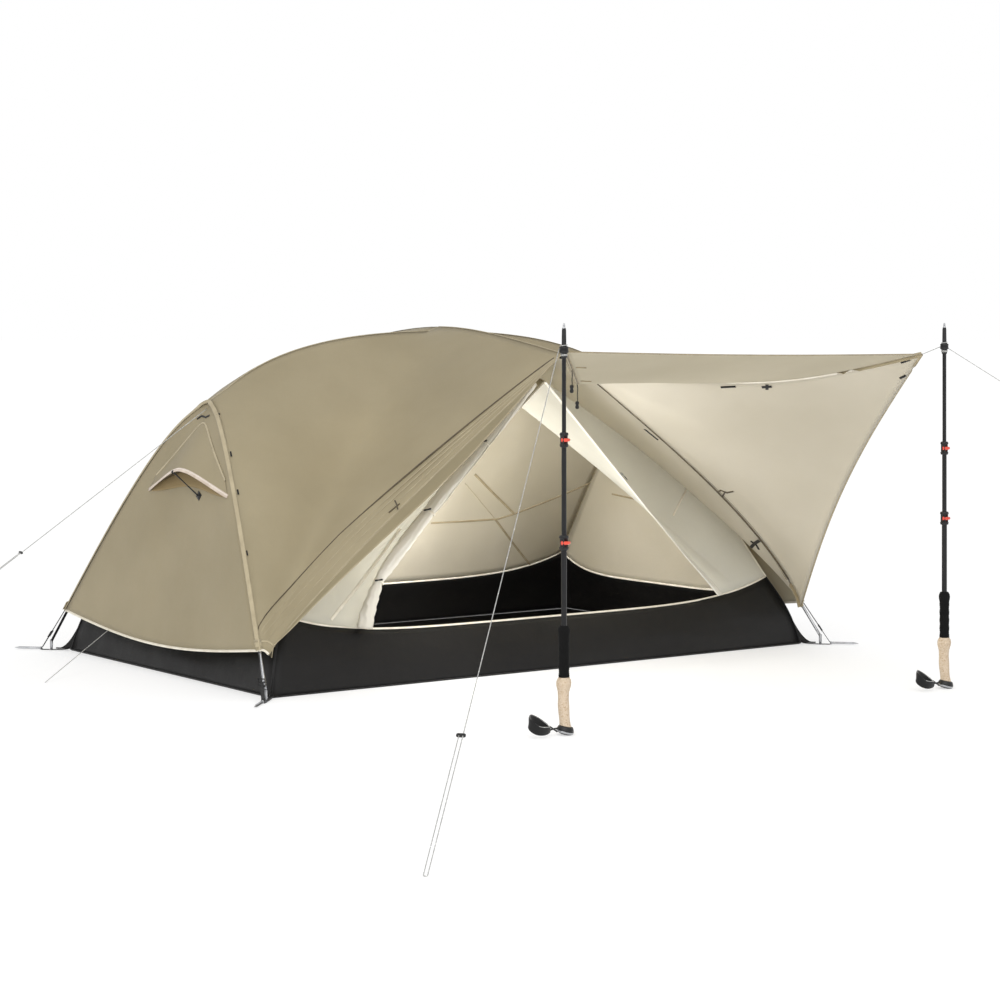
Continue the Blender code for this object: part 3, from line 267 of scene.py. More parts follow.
# Corner webbing; its path is told by its start, the distance out and the height
WEBBING_RISE = 0.0016
WEBBING_FOLD = 0.034
WEBBING_PATH = (
    ("tub", 0.001, 0.012),
    ("tub", 0.012, 0.0045),
    ("foot", -0.016, 0.0020),
    ("foot", 0.0, WEBBING_RISE),
    ("foot", 0.022, WEBBING_RISE),
)
WEBBING_HALF = 0.0075
WEBBING_LOOP_HALF = 0.0060
WEBBING_THICK = 0.0014
CORNER_CORD_RADIUS = 0.0016
GROMMET_RADIUS = 0.0068
GROMMET_RISE = 0.0026
BUCKLE_SHARE = 0.34
BUCKLE_SIDE = (0.028, 0.003, 0.004)
BUCKLE_SIDE_SHIFTS = (-0.010, 0.010)
BUCKLE_BARS = (
    (-0.012, (0.003, 0.022, 0.004)),
    (0.0, (0.003, 0.022, 0.0045)),
    (0.012, (0.004, 0.022, 0.004)),
)

# Stakes; a wing's section is told by angle and reach
STAKE_LENGTH = 0.098
STAKE_HEAD_RISE = 0.0058
STAKE_HEAD_OUT = 0.0011
STAKE_POINT = 0.82
STAKE_WING = ((-0.55, 0.0014), (-0.10, 0.0046), (0.10, 0.0046), (0.55, 0.0014))

# The trekking poles' collars and locks; a lever's angles are its start and its turn in degrees
WRAP_RISES = (-0.0125, -0.0155, 0.0115)
WRAP_RADIUS = 0.0092
WRAP_TILT = 0.0012
WRAP_CORD = 0.0013
LOCK_TUBES = {"lower": 0.0080, "upper": 0.0070}
LOCK_WALL = 0.0030
LOCK_HALF = 0.0205
LOCK_EAR = (0.009, 0.006, 0.004)
LOCK_EAR_SHIFTS = {"a": -0.0125, "b": 0.0125}
LEVER_ANGLES = (205, 122)
LEVER_OUT = 0.0034
LEVER_HALF = 0.0050
LEVER_THICK = 0.0108

# The trekking poles' grips and straps
FOAM_RIBS = 40
FOAM_RIBS_FROM = FOAM_TOP - 0.031
FOAM_RIBS_TO = 0.1585
FOAM_LOW = 0.1578
FOAM_RADIUS = 0.0146
FOAM_WAVE = 0.0005
CORK_TOP = 0.157
CORK_LENGTH = 0.14
CORK_LEAN = 0.0045
CORK_BOW = 0.0020
CAP_ASIDE = 0.0005
CAP_AXIS = UP * 0.972 + ASIDE * 0.235
STRAP_STEPS = 60
STRAP_HALF_THICK = 0.0024
STRAP_EDGE = (0.0011, 0.0010)
STRAP_THIN_HALF = 0.0022
STRAP_THIN_THICK = 0.0012
STRAP_TAILS = (("upper", 0.0055, -0.0045), ("lower", -0.0055, 0.0050))

# Ties that hang from the awning
HANGING_RADIUS = 0.0014
HANGING_SWAY = 0.0012

# Tapes and seams: look, half width and rise
TAPES = {
    "fly_hem": ("cream", 0.0040, 0.0016),
    "fly_hem_fold": ("seam", 0.0035, 0.0012),
    "leg_seam": ("seam", 0.0078, 0.0020),
    "ridge_seam": ("seam", 0.0034, 0.0014),
    "brow_seam": ("seam", 0.0034, 0.0014),
    "back_zip_flap": ("seam", 0.020, 0.0020),
    "back_zip": ("black_zip", 0.006, 0.0022),
    "fly_door_edge": ("seam", 0.0040, 0.0014),
    "fly_door_flap_edge": ("seam", 0.0028, 0.0012),
    # painted fold highlights: the flap_fold tapes are light lines that stand for folds the flat flap strip
    # doesn't have
    "flap_fold_1": ("seam", 0.0020, 0.0010),
    "flap_fold_2": ("seam", 0.0022, 0.0012),
    "flap_fold_3": ("seam", 0.0020, 0.0010),
    # partly painted shadow: the flap's zip tape is wide and dark so that it also stands for the shadow line
    # along the flap
    "door_zip_tape_and_shadow": ("dark_seam", 0.0036, 0.0016),
    "awning_front_hem": ("brown", 0.0045, 0.0016),
    "awning_zip_tape": ("brown", 0.0055, 0.0012),
    "awning_zip_teeth": ("dark_seam", 0.0018, 0.0024),
    "awning_side_hem": ("brown", 0.0048, 0.0016),
    "awning_seam_tape": ("cream", 0.0065, 0.0014),
    "awning_seam_top": ("seam", 0.0085, 0.0020),
    "right_door_tape": ("brown", 0.011, 0.0020),
    "right_door_zip": ("dark_seam", 0.0042, 0.0026),
    "vent_lip": ("lip", 0.0070, 0.0024),
    "vent_top_seam": ("seam", 0.004, 0.0008),
    "tub_tape": ("cream", 0.0026, 0.0035),
    "inner_zip_tape": ("zip", 0.0095, 0.0012),
    "inner_edge_tape": ("cream", 0.0045, 0.0012),
    "inner_corner_front": ("cream", 0.0042, 0.0018),
    "inner_corner_back": ("brown", 0.0042, 0.0018),
    "inner_ridge_tape": ("cream", 0.005, 0.0016),
    "inner_brow_tape": ("brown", 0.005, 0.0018),
}

# The zip slider's parts: name, size, distance up and back from its middle, look, rounding
SLIDER_PARTS = (
    ("zip_bridge", (0.007, 0.0028, 0.0025), 0.0028, 0.0, "silver", 0.0008),
    ("zip_tab", (0.016, 0.0055, 0.0013), 0.0030, 0.009, "silver", 0.0005),
    ("zip_pull", (0.020, 0.0048, 0.0022), 0.0030, 0.022, "webbing", 0.0008),
)

# Profiles of turned pieces, as (radius, height) pairs
STRUT_KNOB = ((0.0, 0.0), (0.004, 0.0005), (0.0062, 0.003), (0.0062, 0.006), (0.0042, 0.008), (0.0, 0.0085))
ROLL_TOGGLE = ((0.0, -0.013), (0.0022, -0.0125), (0.0030, -0.009), (0.0022, 0.0), (0.0030, 0.009),
               (0.0022, 0.0125), (0.0, 0.013))
HUB_SOCKET = ((0.0, 0.004), (0.0066, 0.004), (0.0066, 0.022), (0.0058, 0.0245), (0.0050, 0.0245))
FERRULE = ((0.0046, -0.030), (0.0053, -0.029), (0.0053, 0.029), (0.0046, 0.030))
POLE_TIP = ((0.0, 0.0006), (0.0030, 0.0008), (0.0042, 0.003), (0.0044, 0.010), (0.0052, 0.011),
            (0.0052, 0.034), (0.0046, 0.036))
STAKE_CAP = ((0.0, 0.0), (0.0048, 0.0004), (0.0052, 0.0016), (0.0052, 0.0050), (0.0040, 0.0062),
             (0.0026, 0.0066))
COLLAR = ((0.0062, -0.024), (0.0082, -0.022), (0.0088, -0.010), (0.0128, -0.008), (0.0130, -0.005),
          (0.0122, -0.003), (0.0122, 0.003), (0.0130, 0.005), (0.0126, 0.007), (0.0084, 0.009),
          (0.0066, 0.013))
COLLAR_TOP = ((0.0060, -0.020), (0.0050, -0.014))
TIP_CONE = ((0.0050, -0.0145), (0.0036, -0.012), (0.0032, -0.006), (0.0024, -0.001), (0.0, 0.0005))
CLAMP = ((0.0010, -0.0195), (0.0016, -0.0165), (0.0020, -0.0155), (0.0022, -0.0125), (0.0006, -0.0120),
         (0.0006, 0.0120), (0.0022, 0.0125), (0.0020, 0.0165), (0.0010, 0.0195))
LEVER_PIN = ((0.0, -0.0115), (0.0019, -0.0113), (0.0019, 0.0113), (0.0, 0.0115))
FOAM_SHOULDER = ((0.0084, 0.001), (0.0122, 0.0005), (0.0158, -0.006), (0.0172, -0.013), (0.0166, -0.021),
                 (0.0149, -0.029))
CORK = ((0.0155, 0.1572), (0.0168, 0.1545), (0.0195, 0.150), (0.0209, 0.143), (0.0205, 0.135),
        (0.0184, 0.127), (0.0160, 0.118), (0.0152, 0.108), (0.0149, 0.098), (0.0156, 0.086),
        (0.0158, 0.075), (0.0153, 0.062), (0.0146, 0.048), (0.0146, 0.038), (0.0154, 0.028),
        (0.0166, 0.020), (0.0172, 0.0155), (0.0150, 0.0135))
GRIP_CAP = ((0.0140, 0.0255), (0.0185, 0.0245), (0.0215, 0.0205), (0.0236, 0.0150), (0.0242, 0.0105),
            (0.0236, 0.0078), (0.0205, 0.0046), (0.0140, 0.0022), (0.0, 0.0010))
GRIP_RIM = ((0.0238, 0.0116), (0.0246, 0.0108), (0.0240, 0.0078), (0.0222, 0.0058), (0.0215, 0.0060))
HANGING_TOGGLE = ((0.0, -0.012), (0.0046, -0.011), (0.0060, -0.006), (0.0042, 0.0), (0.0060, 0.006),
                  (0.0046, 0.011), (0.0, 0.012))

# Light; a room lamp is its place and its watts
WORLD_LIGHT = 0.81
WORLD_SEEN = 1.0
STAGE_HALF = 400.0
STAGE_GLOW = 1.02
STAGE_GLOW_SHARE = 0.45
SUN_FROM = Vector((-0.55, -0.55, 0.95))
SUN_SPREAD = math.radians(60.0)
SUN_STRENGTH = 1.0
AWNING_LAMP = Vector((-3.40, -5.80, 0.70))
AWNING_LAMP_AIM = Vector((0.3, -0.6, 0.7))
AWNING_LAMP_SIZE = (3.2, 1.2)
AWNING_LAMP_WATTS = 84.0
ROOM_LAMP_RADIUS = 0.14
ROOM_LAMPS = (
    ((-0.50, 0.0, 0.42), 16.0),
    ((0.0, 0.0, 0.40), 13.0),
    ((0.50, 0.0, 0.40), 0.8),
    ((-0.15, 0.05, 0.24), 13.0),
    ((0.24, -0.58, 0.45), 1.6),
    ((-0.40, -0.80, 0.30), 2.2),
    ((0.10, -0.80, 0.72), 1.0),
)

# Seams inside: name, panel, look, half width and path in the photograph's pixels
SEAM_LINES = (
    ("back_arch_seam", "inner_back", "brown", 0.0044,
     ((430.7, 523), (470, 521), (497.7, 519), (514, 514), (540, 504), (560, 496), (590, 483), (616, 470))),
    ("back_tie_seam", "inner_back", "brown", 0.0046, ((474.5, 474), (493, 493), (513.8, 513.4))),
    ("back_low_seam", "inner_back", "brown", 0.0044, ((495, 519), (515, 546), (535, 571))),
    ("back_thin_seam", "inner_back", "seam", 0.002, ((464.6, 483), (480, 501), (495, 519))),
    ("end_arch_seam", "inner_right_end", "brown", 0.0035, ((612, 494), (635, 499), (657, 502))),
    ("mesh_seam", "inner_front_right", "cream", 0.0035, ((693.6, 476), (682, 498), (673, 516))),
    # partly painted highlight: the cream seam on the left mesh is drawn wide to cover the pale fold strip
    # beside it too
    ("left_mesh_seam_and_highlight", "inner_front_left", "cream", 0.0050, ((400, 529), (380, 557), (356, 589), (331, 620))),
)

# Small parts on the cloth, told in the same way
MARKS = (
    ("awning_tab_1", "awning_wall", "webbing", 0.0036, ((721, 387), (736, 386.3))),
    ("awning_tab_2", "awning_wall", "webbing", 0.0036, ((901, 362.5), (910, 359.5))),
    ("awning_tab_3", "awning_wall", "webbing", 0.0040, ((900, 378), (906, 375))),
    ("awning_toggle_bar", "awning_wall", "plastic", 0.0042, ((762, 387), (772, 386.3))),
    ("awning_toggle_stem", "awning_wall", "plastic", 0.0050, ((767, 384), (767, 389))),
    ("awning_tab_4", "awning_roof", "brown", 0.0020, ((576, 367), (586, 367.3))),
    ("awning_tab_5", "awning_roof", "brown", 0.0020, ((581, 380.5), (591, 381))),
    ("door_tab", "fly_front_right", "webbing", 0.0055, ((644.8, 428.8), (658, 439.5))),
    ("door_clip_a", "fly_front_right", "plastic", 0.0060, ((749, 549.5), (755, 543), (760, 540))),
    ("door_clip_b", "fly_front_right", "plastic", 0.0045, ((751, 541), (756, 544), (759, 549))),
    ("door_tie_a", "awning_wall", "dark_seam", 0.0026, ((715, 494), (721, 490), (727, 492.5), (734, 491))),
    ("door_tie_b", "awning_wall", "dark_seam", 0.0026, ((726, 491), (722, 497), (721, 504))),
    ("roll_back_tie_a", "fly_front_left", "dark_seam", 0.0024, ((389, 513), (395, 508), (400, 504))),
    ("roll_back_tie_b", "fly_front_left", "dark_seam", 0.0024, ((395, 501), (397, 505), (398, 510))),
    # painted shadow: the two dark marks at the hub flap stand for the slit of shade under the flap
    ("hub_flap_shadow_a", "fly_left_end", "webbing", 0.0030, ((197.5, 419), (202, 416), (206, 417.5), (210, 415.5))),
    ("hub_flap_shadow_b", "fly_front_left", "webbing", 0.0026, ((212, 415), (216, 416), (220, 414))),
    ("leg_clip_a", "fly_front_left", "webbing", 0.0026, ((230.5, 452), (231.5, 457))),
    ("leg_clip_b", "fly_front_left", "webbing", 0.0026, ((237.5, 490), (238.5, 495))),
    ("leg_clip_c", "fly_front_left", "webbing", 0.0022, ((246.5, 551), (247.5, 556))),
    ("end_strap_a", "inner_right_end", "grey_webbing", 0.0060, ((613, 480), (618, 470), (623, 459))),
    ("end_strap_b", "inner_right_end", "grey_webbing", 0.0045, ((620, 481), (624, 471), (629, 462))),
)

# The two ties that hang from the awning: top and toggle in the photograph's pixels
AWNING_TIES = (((576.3, 368), (576.7, 386.5)), ((582, 382), (582.3, 402.3)))


def make_camera():
    data = bpy.data.cameras.new("photo_camera")
    data.sensor_width = SENSOR
    data.lens = LENS
    data.shift_y = SHIFT_UP
    data.clip_start = 0.05
    data.clip_end = 200.0
    made = bpy.data.objects.new("photo_camera", data)
    made.location = EYE
    made.rotation_euler = (math.radians(90.0), 0.0, HEADING)
    bpy.context.scene.collection.objects.link(made)
    bpy.context.scene.camera = made


def pixel_ray(x, y):
    """The way from the eye through a pixel of the photograph."""
    ahead = Vector((-math.sin(HEADING), math.cos(HEADING), 0.0))
    right = Vector((math.cos(HEADING), math.sin(HEADING), 0.0))
    return (ahead + right * ((x - PICTURE / 2) / FOCAL) + UP * ((HORIZON - y) / FOCAL)).normalized()


# Curves are functions of a share from 0 to 1, and sampled curves are lists of points.


def bezier(start, handle_a, handle_b, end):
    def point(t):
        s = 1.0 - t
        return start * s**3 + handle_a * 3 * s * s * t + handle_b * 3 * s * t * t + end * t**3

    return point


def bowed(start, end, bow, lean=0.5):
    """A line from start to end, bowed by a vector that is largest at the share `lean`."""
    power = math.log(0.5) / math.log(lean)

    def point(t):
        return start.lerp(end, t) + bow * math.sin(math.pi * t**power)

    return point


def sampled(curve, cells):
    return [curve(i / cells) for i in range(cells + 1)]


def subdivided(points, parts):
    """The same broken line with each stretch cut in equal parts."""
    cut = []
    for a, b in zip(points, points[1:]):
        cut += [a.lerp(b, i / parts) for i in range(parts)]
    return cut + [points[-1]]


def outward_in_plane(curve, t, plane_side):
    """The unit vector square to a curve, in the upright plane that holds it, pointing up or out."""
    step = 0.002
    run = (curve(min(t + step, 1.0)) - curve(max(t - step, 0.0))).normalized()
    return run.cross(plane_side).normalized()


def share_at_height(curve, height):
    """Where a falling curve passes a height, found by halving."""
    low, high = 0.0, 1.0
    for _ in range(40):
        middle = 0.5 * (low + high)
        if curve(middle).z > height:
            low = middle
        else:
            high = middle
    return low


def coons_grid(bottom, top, left, right):
    """Rows of points that fill four edges; left and right run from bottom to top."""
    columns = len(bottom) - 1
    rows = len(left) - 1
    grid = []
    for j in range(rows + 1):
        v = j / rows
        row = []
        for i in range(columns + 1):
            u = i / columns
            across = left[j].lerp(right[j], u)
            up = bottom[i].lerp(top[i], v)
            corner_low = bottom[0].lerp(bottom[-1], u)
            corner_high = top[0].lerp(top[-1], u)
            row.append(across + up - corner_low.lerp(corner_high, v))
        grid.append(row)
    return grid


def fan_grid(left, right, base):
    """Rows of points from the apex that left and right share; row j has j + 1 points."""
    rows = len(left) - 1
    grid = [[left[0].copy()]]
    for j in range(1, rows + 1):
        spread = j / rows
        row = []
        for i in range(j + 1):
            u = i / j
            place = u * rows
            low = min(int(place), rows - 1)
            base_point = base[low].lerp(base[low + 1], place - low)
            bow = base_point - base[0].lerp(base[-1], u)
            row.append(left[j].lerp(right[j], u) + bow * spread * spread)
        grid.append(row)
    return grid


def on_grid(grid, u, v):
    """A point of an even grid, and the unit vector square to it, facing out of the tent."""
    rows = len(grid) - 1
    columns = len(grid[0]) - 1
    x = min(max(u, 0.0), 1.0) * columns
    y = min(max(v, 0.0), 1.0) * rows
    i = min(int(x), columns - 1)
    j = min(int(y), rows - 1)
    low = grid[j][i].lerp(grid[j][i + 1], x - i)
    high = grid[j + 1][i].lerp(grid[j + 1][i + 1], x - i)
    point = low.lerp(high, y - j)
    square = (grid[j][i + 1] - grid[j][i]).cross(grid[j + 1][i] - grid[j][i]).normalized()
    if square.dot(point - INSIDE) < 0.0:
        square.negate()
    return point, square


# The frame's curves, which the fly and the inner tent follow.


def hub_point(x_side):
    """The middle of a hub; x_side is -1 on the left and 1 on the right."""
    return Vector((x_side * HUB_SPAN / 2, 0.0, HUB_HEIGHT))


def foot_point(x_side, y_side):
    """Where a leg pole stands; y_side is -1 in front and 1 behind."""
    return Vector((x_side * (FLOOR_LENGTH / 2 + FOOT_OUT), y_side * (FLOOR_WIDTH / 2 + FOOT_OUT), 0.0))


def leg_run(x_side, y_side):
    """The level way from a hub to a leg's foot."""
    run = foot_point(x_side, y_side) - hub_point(x_side)
    run.z = 0.0
    return run.normalized()


def leg_curve(x_side, y_side):
    """A leg pole's middle line, from its hub down to its tip."""
    run = leg_run(x_side, y_side)
    start = hub_point(x_side)
    end = foot_point(x_side, y_side) + UP * FOOT_TIP
    handle_top = start + run * LEG_SHOULDER
    handle_low = end - run * LEG_FOOT_LEAN + UP * LEG_FOOT_RISE
    return bezier(start, handle_top, handle_low, end)


def ridge_curve(x_side):
    """Half of the ridge pole's middle line, from a hub to the crown."""
    start = hub_point(x_side)
    crown = Vector((0.0, 0.0, RIDGE_HEIGHT))
    handle_hub = start + Vector((-x_side * RIDGE_SHOULDER_IN, 0.0, RIDGE_SHOULDER_UP))
    handle_crown = crown + Vector((x_side * RIDGE_CROWN, 0.0, 0.0))
    return bezier(start, handle_hub, handle_crown, crown)


def brow_curve(y_side):
    """Half of the brow pole's middle line, from the crown to its end."""
    start = Vector((0.0, 0.0, RIDGE_HEIGHT + 2 * POLE_RADIUS + CLEAR))
    end = Vector((0.0, y_side * BROW_REACH, RIDGE_HEIGHT - BROW_DROP))
    handle_a = start.lerp(end, 1 / 3)
    handle_a.z = start.z
    handle_b = start.lerp(end, 2 / 3)
    handle_b.z = end.z + BROW_DIP * 2
    return bezier(start, handle_a, handle_b, end)


def hub_bump(distance):
    """How far the fly stands off a pole at a distance from the hub."""
    return SEAM_LIFT + (HUB_LIFT - SEAM_LIFT) * math.exp(-((distance / HUB_LIFT_REACH) ** 2))


def fly_hub(x_side):
    return hub_point(x_side) + Vector((x_side * HUB_LIFT_LEAN, 0.0, 1.0)).normalized() * HUB_LIFT


def fly_leg(x_side, y_side):
    """The fly's seam over a leg pole, from the hem up to the hub."""
    curve = leg_curve(x_side, y_side)
    side = leg_run(x_side, y_side).cross(UP)
    low = share_at_height(curve, HEM_CORNER)
    points = []
    for i in range(LEG_CELLS + 1):
        t = low * (1.0 - i / LEG_CELLS)
        axis = curve(t)
        out = outward_in_plane(curve, t, -side) + Vector((x_side * SEAM_END_LEAN, 0.0, 0.0))
        points.append(axis + out.normalized() * hub_bump((axis - curve(0.0)).length))
    points[-1] = fly_hub(x_side)
    return points


def fly_ridge(x_side):
    """Half of the fly's ridge, from a hub to the crown."""
    points = []
    for axis in sampled(ridge_curve(x_side), RIDGE_CELLS):
        points.append(axis + UP * hub_bump((axis - hub_point(x_side)).length))
    points[0] = fly_hub(x_side)
    points[-1] = fly_brow(1)[0]
    return points


def fly_brow(y_side, cells=BROW_CELLS):
    points = []
    for i, axis in enumerate(sampled(brow_curve(y_side), cells)):
        out = Vector((0.0, y_side * BROW_LEAN * i / cells, 1.0))
        points.append(axis + out.normalized() * BROW_LIFT)
    return points


def front_edge(x_side):
    """The front door's edge on one side, from its foot up to the peak."""
    corner = fly_leg(x_side, -1)[0]
    foot = corner + Vector((-x_side * DOOR_FOOT, -DOOR_FOOT * 0.6, -DOOR_FOOT * 0.5))
    top = fly_brow(-1)[-1]
    rise = DOOR_SEAM_BOW if x_side > 0 else DOOR_EDGE_BOW
    bow = Vector((x_side * rise, 0.0, rise))
    return sampled(bowed(foot, top, bow, 0.35), LEG_CELLS)


def back_edge():
    """The back zip, from its stake up over the brow to the crown."""
    foot = Vector((0.0, BACK_STAKE_OUT, BACK_STAKE_RISE))
    brow = fly_brow(1, BACK_BROW_CELLS)
    bow = Vector((0.0, HEM_BOW, HEM_BOW))
    return sampled(bowed(foot, brow[-1], bow), LEG_CELLS - BACK_BROW_CELLS)[:-1] + brow[::-1]


def fly_side_grid(x_side, y_side):
    """A front or back panel of the fly, from its hem up to the ridge."""
    leg = fly_leg(x_side, y_side)
    if y_side > 0:
        edge = back_edge()
        bottom = sampled(bowed(leg[0], edge[0], UP * HEM_BOW), RIDGE_CELLS)
        return coons_grid(bottom, fly_ridge(x_side), leg, edge)
    edge = front_edge(x_side)
    bottom = sampled(bowed(leg[0], edge[0], UP * DOOR_HEM_BOW), RIDGE_CELLS + BROW_CELLS)
    return coons_grid(bottom, fly_ridge(x_side) + fly_brow(y_side)[1:], leg, edge)


def fly_end_grid(x_side):
    """An end panel of the fly, from its hem up to just below the hub."""
    front = fly_leg(x_side, -1)
    back = fly_leg(x_side, 1)
    half = SHORT_CELLS // 2
    arch = subdivided([front[-1 - FINE], front[-1], back[-1 - FINE]], half)
    drop = UP * (HEM_CENTRE - HEM_CORNER)
    bottom = sampled(bowed(front[0], back[0], drop), SHORT_CELLS)
    return coons_grid(bottom, arch, front[:-FINE], back[:-FINE])


def awning_seam():
    """The seam between roof and wall, from the peak to the right pole."""
    return sampled(bowed(fly_brow(-1)[-1], AWNING_RIGHT, UP * -AWNING_SEAM_SAG), LEG_CELLS)


def awning_zip():
    """The open zip's edge, from the peak to the left pole."""
    inward = Vector((0.55, 0.0, -1.0))
    return sampled(bowed(fly_brow(-1)[-1], AWNING_LEFT, inward * AWNING_ZIP_SAG, 0.45), LEG_CELLS)


def awning_front():
    return sampled(bowed(AWNING_LEFT, AWNING_RIGHT, UP * -AWNING_FRONT_SAG), LEG_CELLS)


def awning_side():
    end = front_edge(1)[0]
    middle = AWNING_RIGHT.lerp(end, 0.5)
    toward = (fly_brow(-1)[-1] - middle).normalized()
    return sampled(bowed(AWNING_RIGHT, end, toward * AWNING_HEM_BOW), LEG_CELLS)


def awning_roof_grid():
    return fan_grid(awning_zip(), awning_seam(), awning_front())


def awning_wall_grid():
    grid = fan_grid(awning_seam(), list(reversed(front_edge(1))), awning_side())
    inward = Vector((-0.6, -0.3, -0.72))
    for j, row in enumerate(grid):
        t = j / (len(grid) - 1)
        for i in range(1, len(row) - 1):
            u = i / (len(row) - 1)
            belly = AWNING_WALL_SAG * math.sin(math.pi * t) * math.sin(math.pi * u)
            fold = 0.0035 * math.sin(5 * math.pi * u + 1.5 * t) * math.sin(math.pi * t)
            row[i] += inward * (belly + fold)
    return grid


def tub_loop(share):
    """The tub's wall at a share of its height, once round from the front left corner."""
    points = []
    lean = TUB_LEAN * share - TUB_BELLY * math.sin(math.pi * share)
    half_x = FLOOR_LENGTH / 2 - lean
    half_y = FLOOR_WIDTH / 2 - lean
    base = FLOOR_SHEET + TUB_SEAM_RISE
    sides = (
        (Vector((-half_x, -half_y, base)), Vector((half_x, -half_y, base)), LONG_CELLS),
        (Vector((half_x, -half_y, base)), Vector((half_x, half_y, base)), SHORT_CELLS),
        (Vector((half_x, half_y, base)), Vector((-half_x, half_y, base)), LONG_CELLS),
        (Vector((-half_x, half_y, base)), Vector((-half_x, -half_y, base)), SHORT_CELLS),
    )
    for start, end, cells in sides:
        for i in range(cells):
            s = i / cells
            corner_share = abs(2 * s - 1) ** 5
            height = TUB_SIDE_HEIGHT + (TUB_CORNER_HEIGHT - TUB_SIDE_HEIGHT) * corner_share
            points.append(start.lerp(end, s) + UP * (height - base) * share)
    return points


def tub_top(side):
    """The top edge of one side of the tub."""
    loop = tub_loop(1.0)
    loop.append(loop[0])
    first = {"front": 0, "right": LONG_CELLS, "back": LONG_CELLS + SHORT_CELLS}
    first["left"] = 2 * LONG_CELLS + SHORT_CELLS
    cells = LONG_CELLS if side in ("front", "back") else SHORT_CELLS
    return [point + UP * CLEAR for point in loop[first[side]:first[side] + cells + 1]]


def inner_hub(x_side):
    return hub_point(x_side) + Vector((-x_side * INNER_HUB_IN, 0.0, -INNER_HUB_DROP))


def inner_leg(x_side, y_side):
    """A corner seam of the inner tent, from the tub up to the hub."""
    row = tub_top("front") if y_side < 0 else list(reversed(tub_top("back")))
    corner = row[0] if x_side < 0 else row[-1]
    top = inner_hub(x_side)
    run = corner - top
    run.z = 0.0
    run.normalize()
    handle_low = corner - run * INNER_FOOT_LEAN + UP * INNER_FOOT_RISE
    return sampled(bezier(corner, handle_low, top + run * INNER_SHOULDER, top), INNER_CELLS)


def inner_ridge(x_side):
    start = inner_hub(x_side)
    crown = Vector((0.0, 0.0, RIDGE_HEIGHT - INNER_RIDGE_DROP))
    handle_hub = start + Vector((-x_side * RIDGE_SHOULDER_IN, 0.0, RIDGE_SHOULDER_UP))
    handle_crown = crown + Vector((x_side * RIDGE_CROWN, 0.0, 0.0))
    return sampled(bezier(start, handle_hub, handle_crown, crown), RIDGE_CELLS)


def inner_brow():
    crown = inner_ridge(1)[-1]
    end = Vector((0.0, -INNER_BROW_REACH, RIDGE_HEIGHT - INNER_BROW_DROP))
    return sampled(bowed(crown, end, UP * BROW_DIP), BROW_CELLS)


def inner_door_edge(x_side):
    """One edge of the inner doorway, from the tub up to its peak."""
    row = tub_top("front")
    foot = row[DOORWAY_FIRST if x_side < 0 else DOORWAY_TURN]
    flare = row[DOORWAY_FIRST if x_side < 0 else DOORWAY_LAST] - foot
    rise = INNER_ROLL_BOW if x_side < 0 else INNER_ZIP_BOW
    bow = Vector((x_side, 0.0, 1.0)) * rise
    path = sampled(bowed(foot, inner_brow()[-1], bow, 0.35), INNER_CELLS)
    return [point + flare * (1.0 - i / INNER_CELLS) ** 5 for i, point in enumerate(path)]


def inner_front_grid(x_side):
    row = tub_top("front")
    cells = RIDGE_CELLS + BROW_CELLS
    stretch = row[:DOORWAY_FIRST + 1] if x_side < 0 else list(reversed(row[DOORWAY_LAST:]))
    bottom = subdivided(stretch, cells // (len(stretch) - 1))
    top = inner_ridge(x_side) + inner_brow()[1:]
    return coons_grid(bottom, top, inner_leg(x_side, -1), inner_door_edge(x_side))


def inner_back_grid():
    bottom = list(reversed(tub_top("back")))
    top = inner_ridge(-1) + list(reversed(inner_ridge(1)))[1:]
    return coons_grid(bottom, top, inner_leg(-1, 1), inner_leg(1, 1))


def inner_end_grid(x_side):
    front = inner_leg(x_side, -1)
    back = inner_leg(x_side, 1)
    bottom = tub_top("left") if x_side < 0 else tub_top("right")
    if x_side < 0:
        bottom = list(reversed(bottom))
    arch = subdivided([front[-1 - FINE], front[-1], back[-1 - FINE]], SHORT_CELLS // 2)
    return coons_grid(bottom, arch, front[:-FINE], back[:-FINE])


def hood_point(end, u, s):
    """A point of the vent's hood at a share up from its lip, and the way out."""
    across = (u - HOOD_SPAN[0]) / (HOOD_SPAN[1] - HOOD_SPAN[0])
    arch = math.sin(math.pi * across)
    mouth = HOOD_SKY[0] + HOOD_LOW_SIDE * (arch - 1.0)
    v = mouth + (HOOD_SKY[1] - HOOD_SKY[0]) * s * (0.25 + 0.75 * arch)
    point, out = on_grid(end, u, v)
    lift = FLY_SHEET + CLEAR * 2 + HOOD_STAND * arch * (1.0 - s) ** 1.5
    return point + out * lift, out


# Looks. Each one is made of noise and wave patterns, so that no image is needed.


def srgb(code):
    """A linear colour from a six-digit sRGB code."""
    shares = [int(code[i:i + 2], 16) / 255 for i in (0, 2, 4)]
    return [s / 12.92 if s <= 0.04045 else ((s + 0.055) / 1.055) ** 2.4 for s in shares] + [1.0]


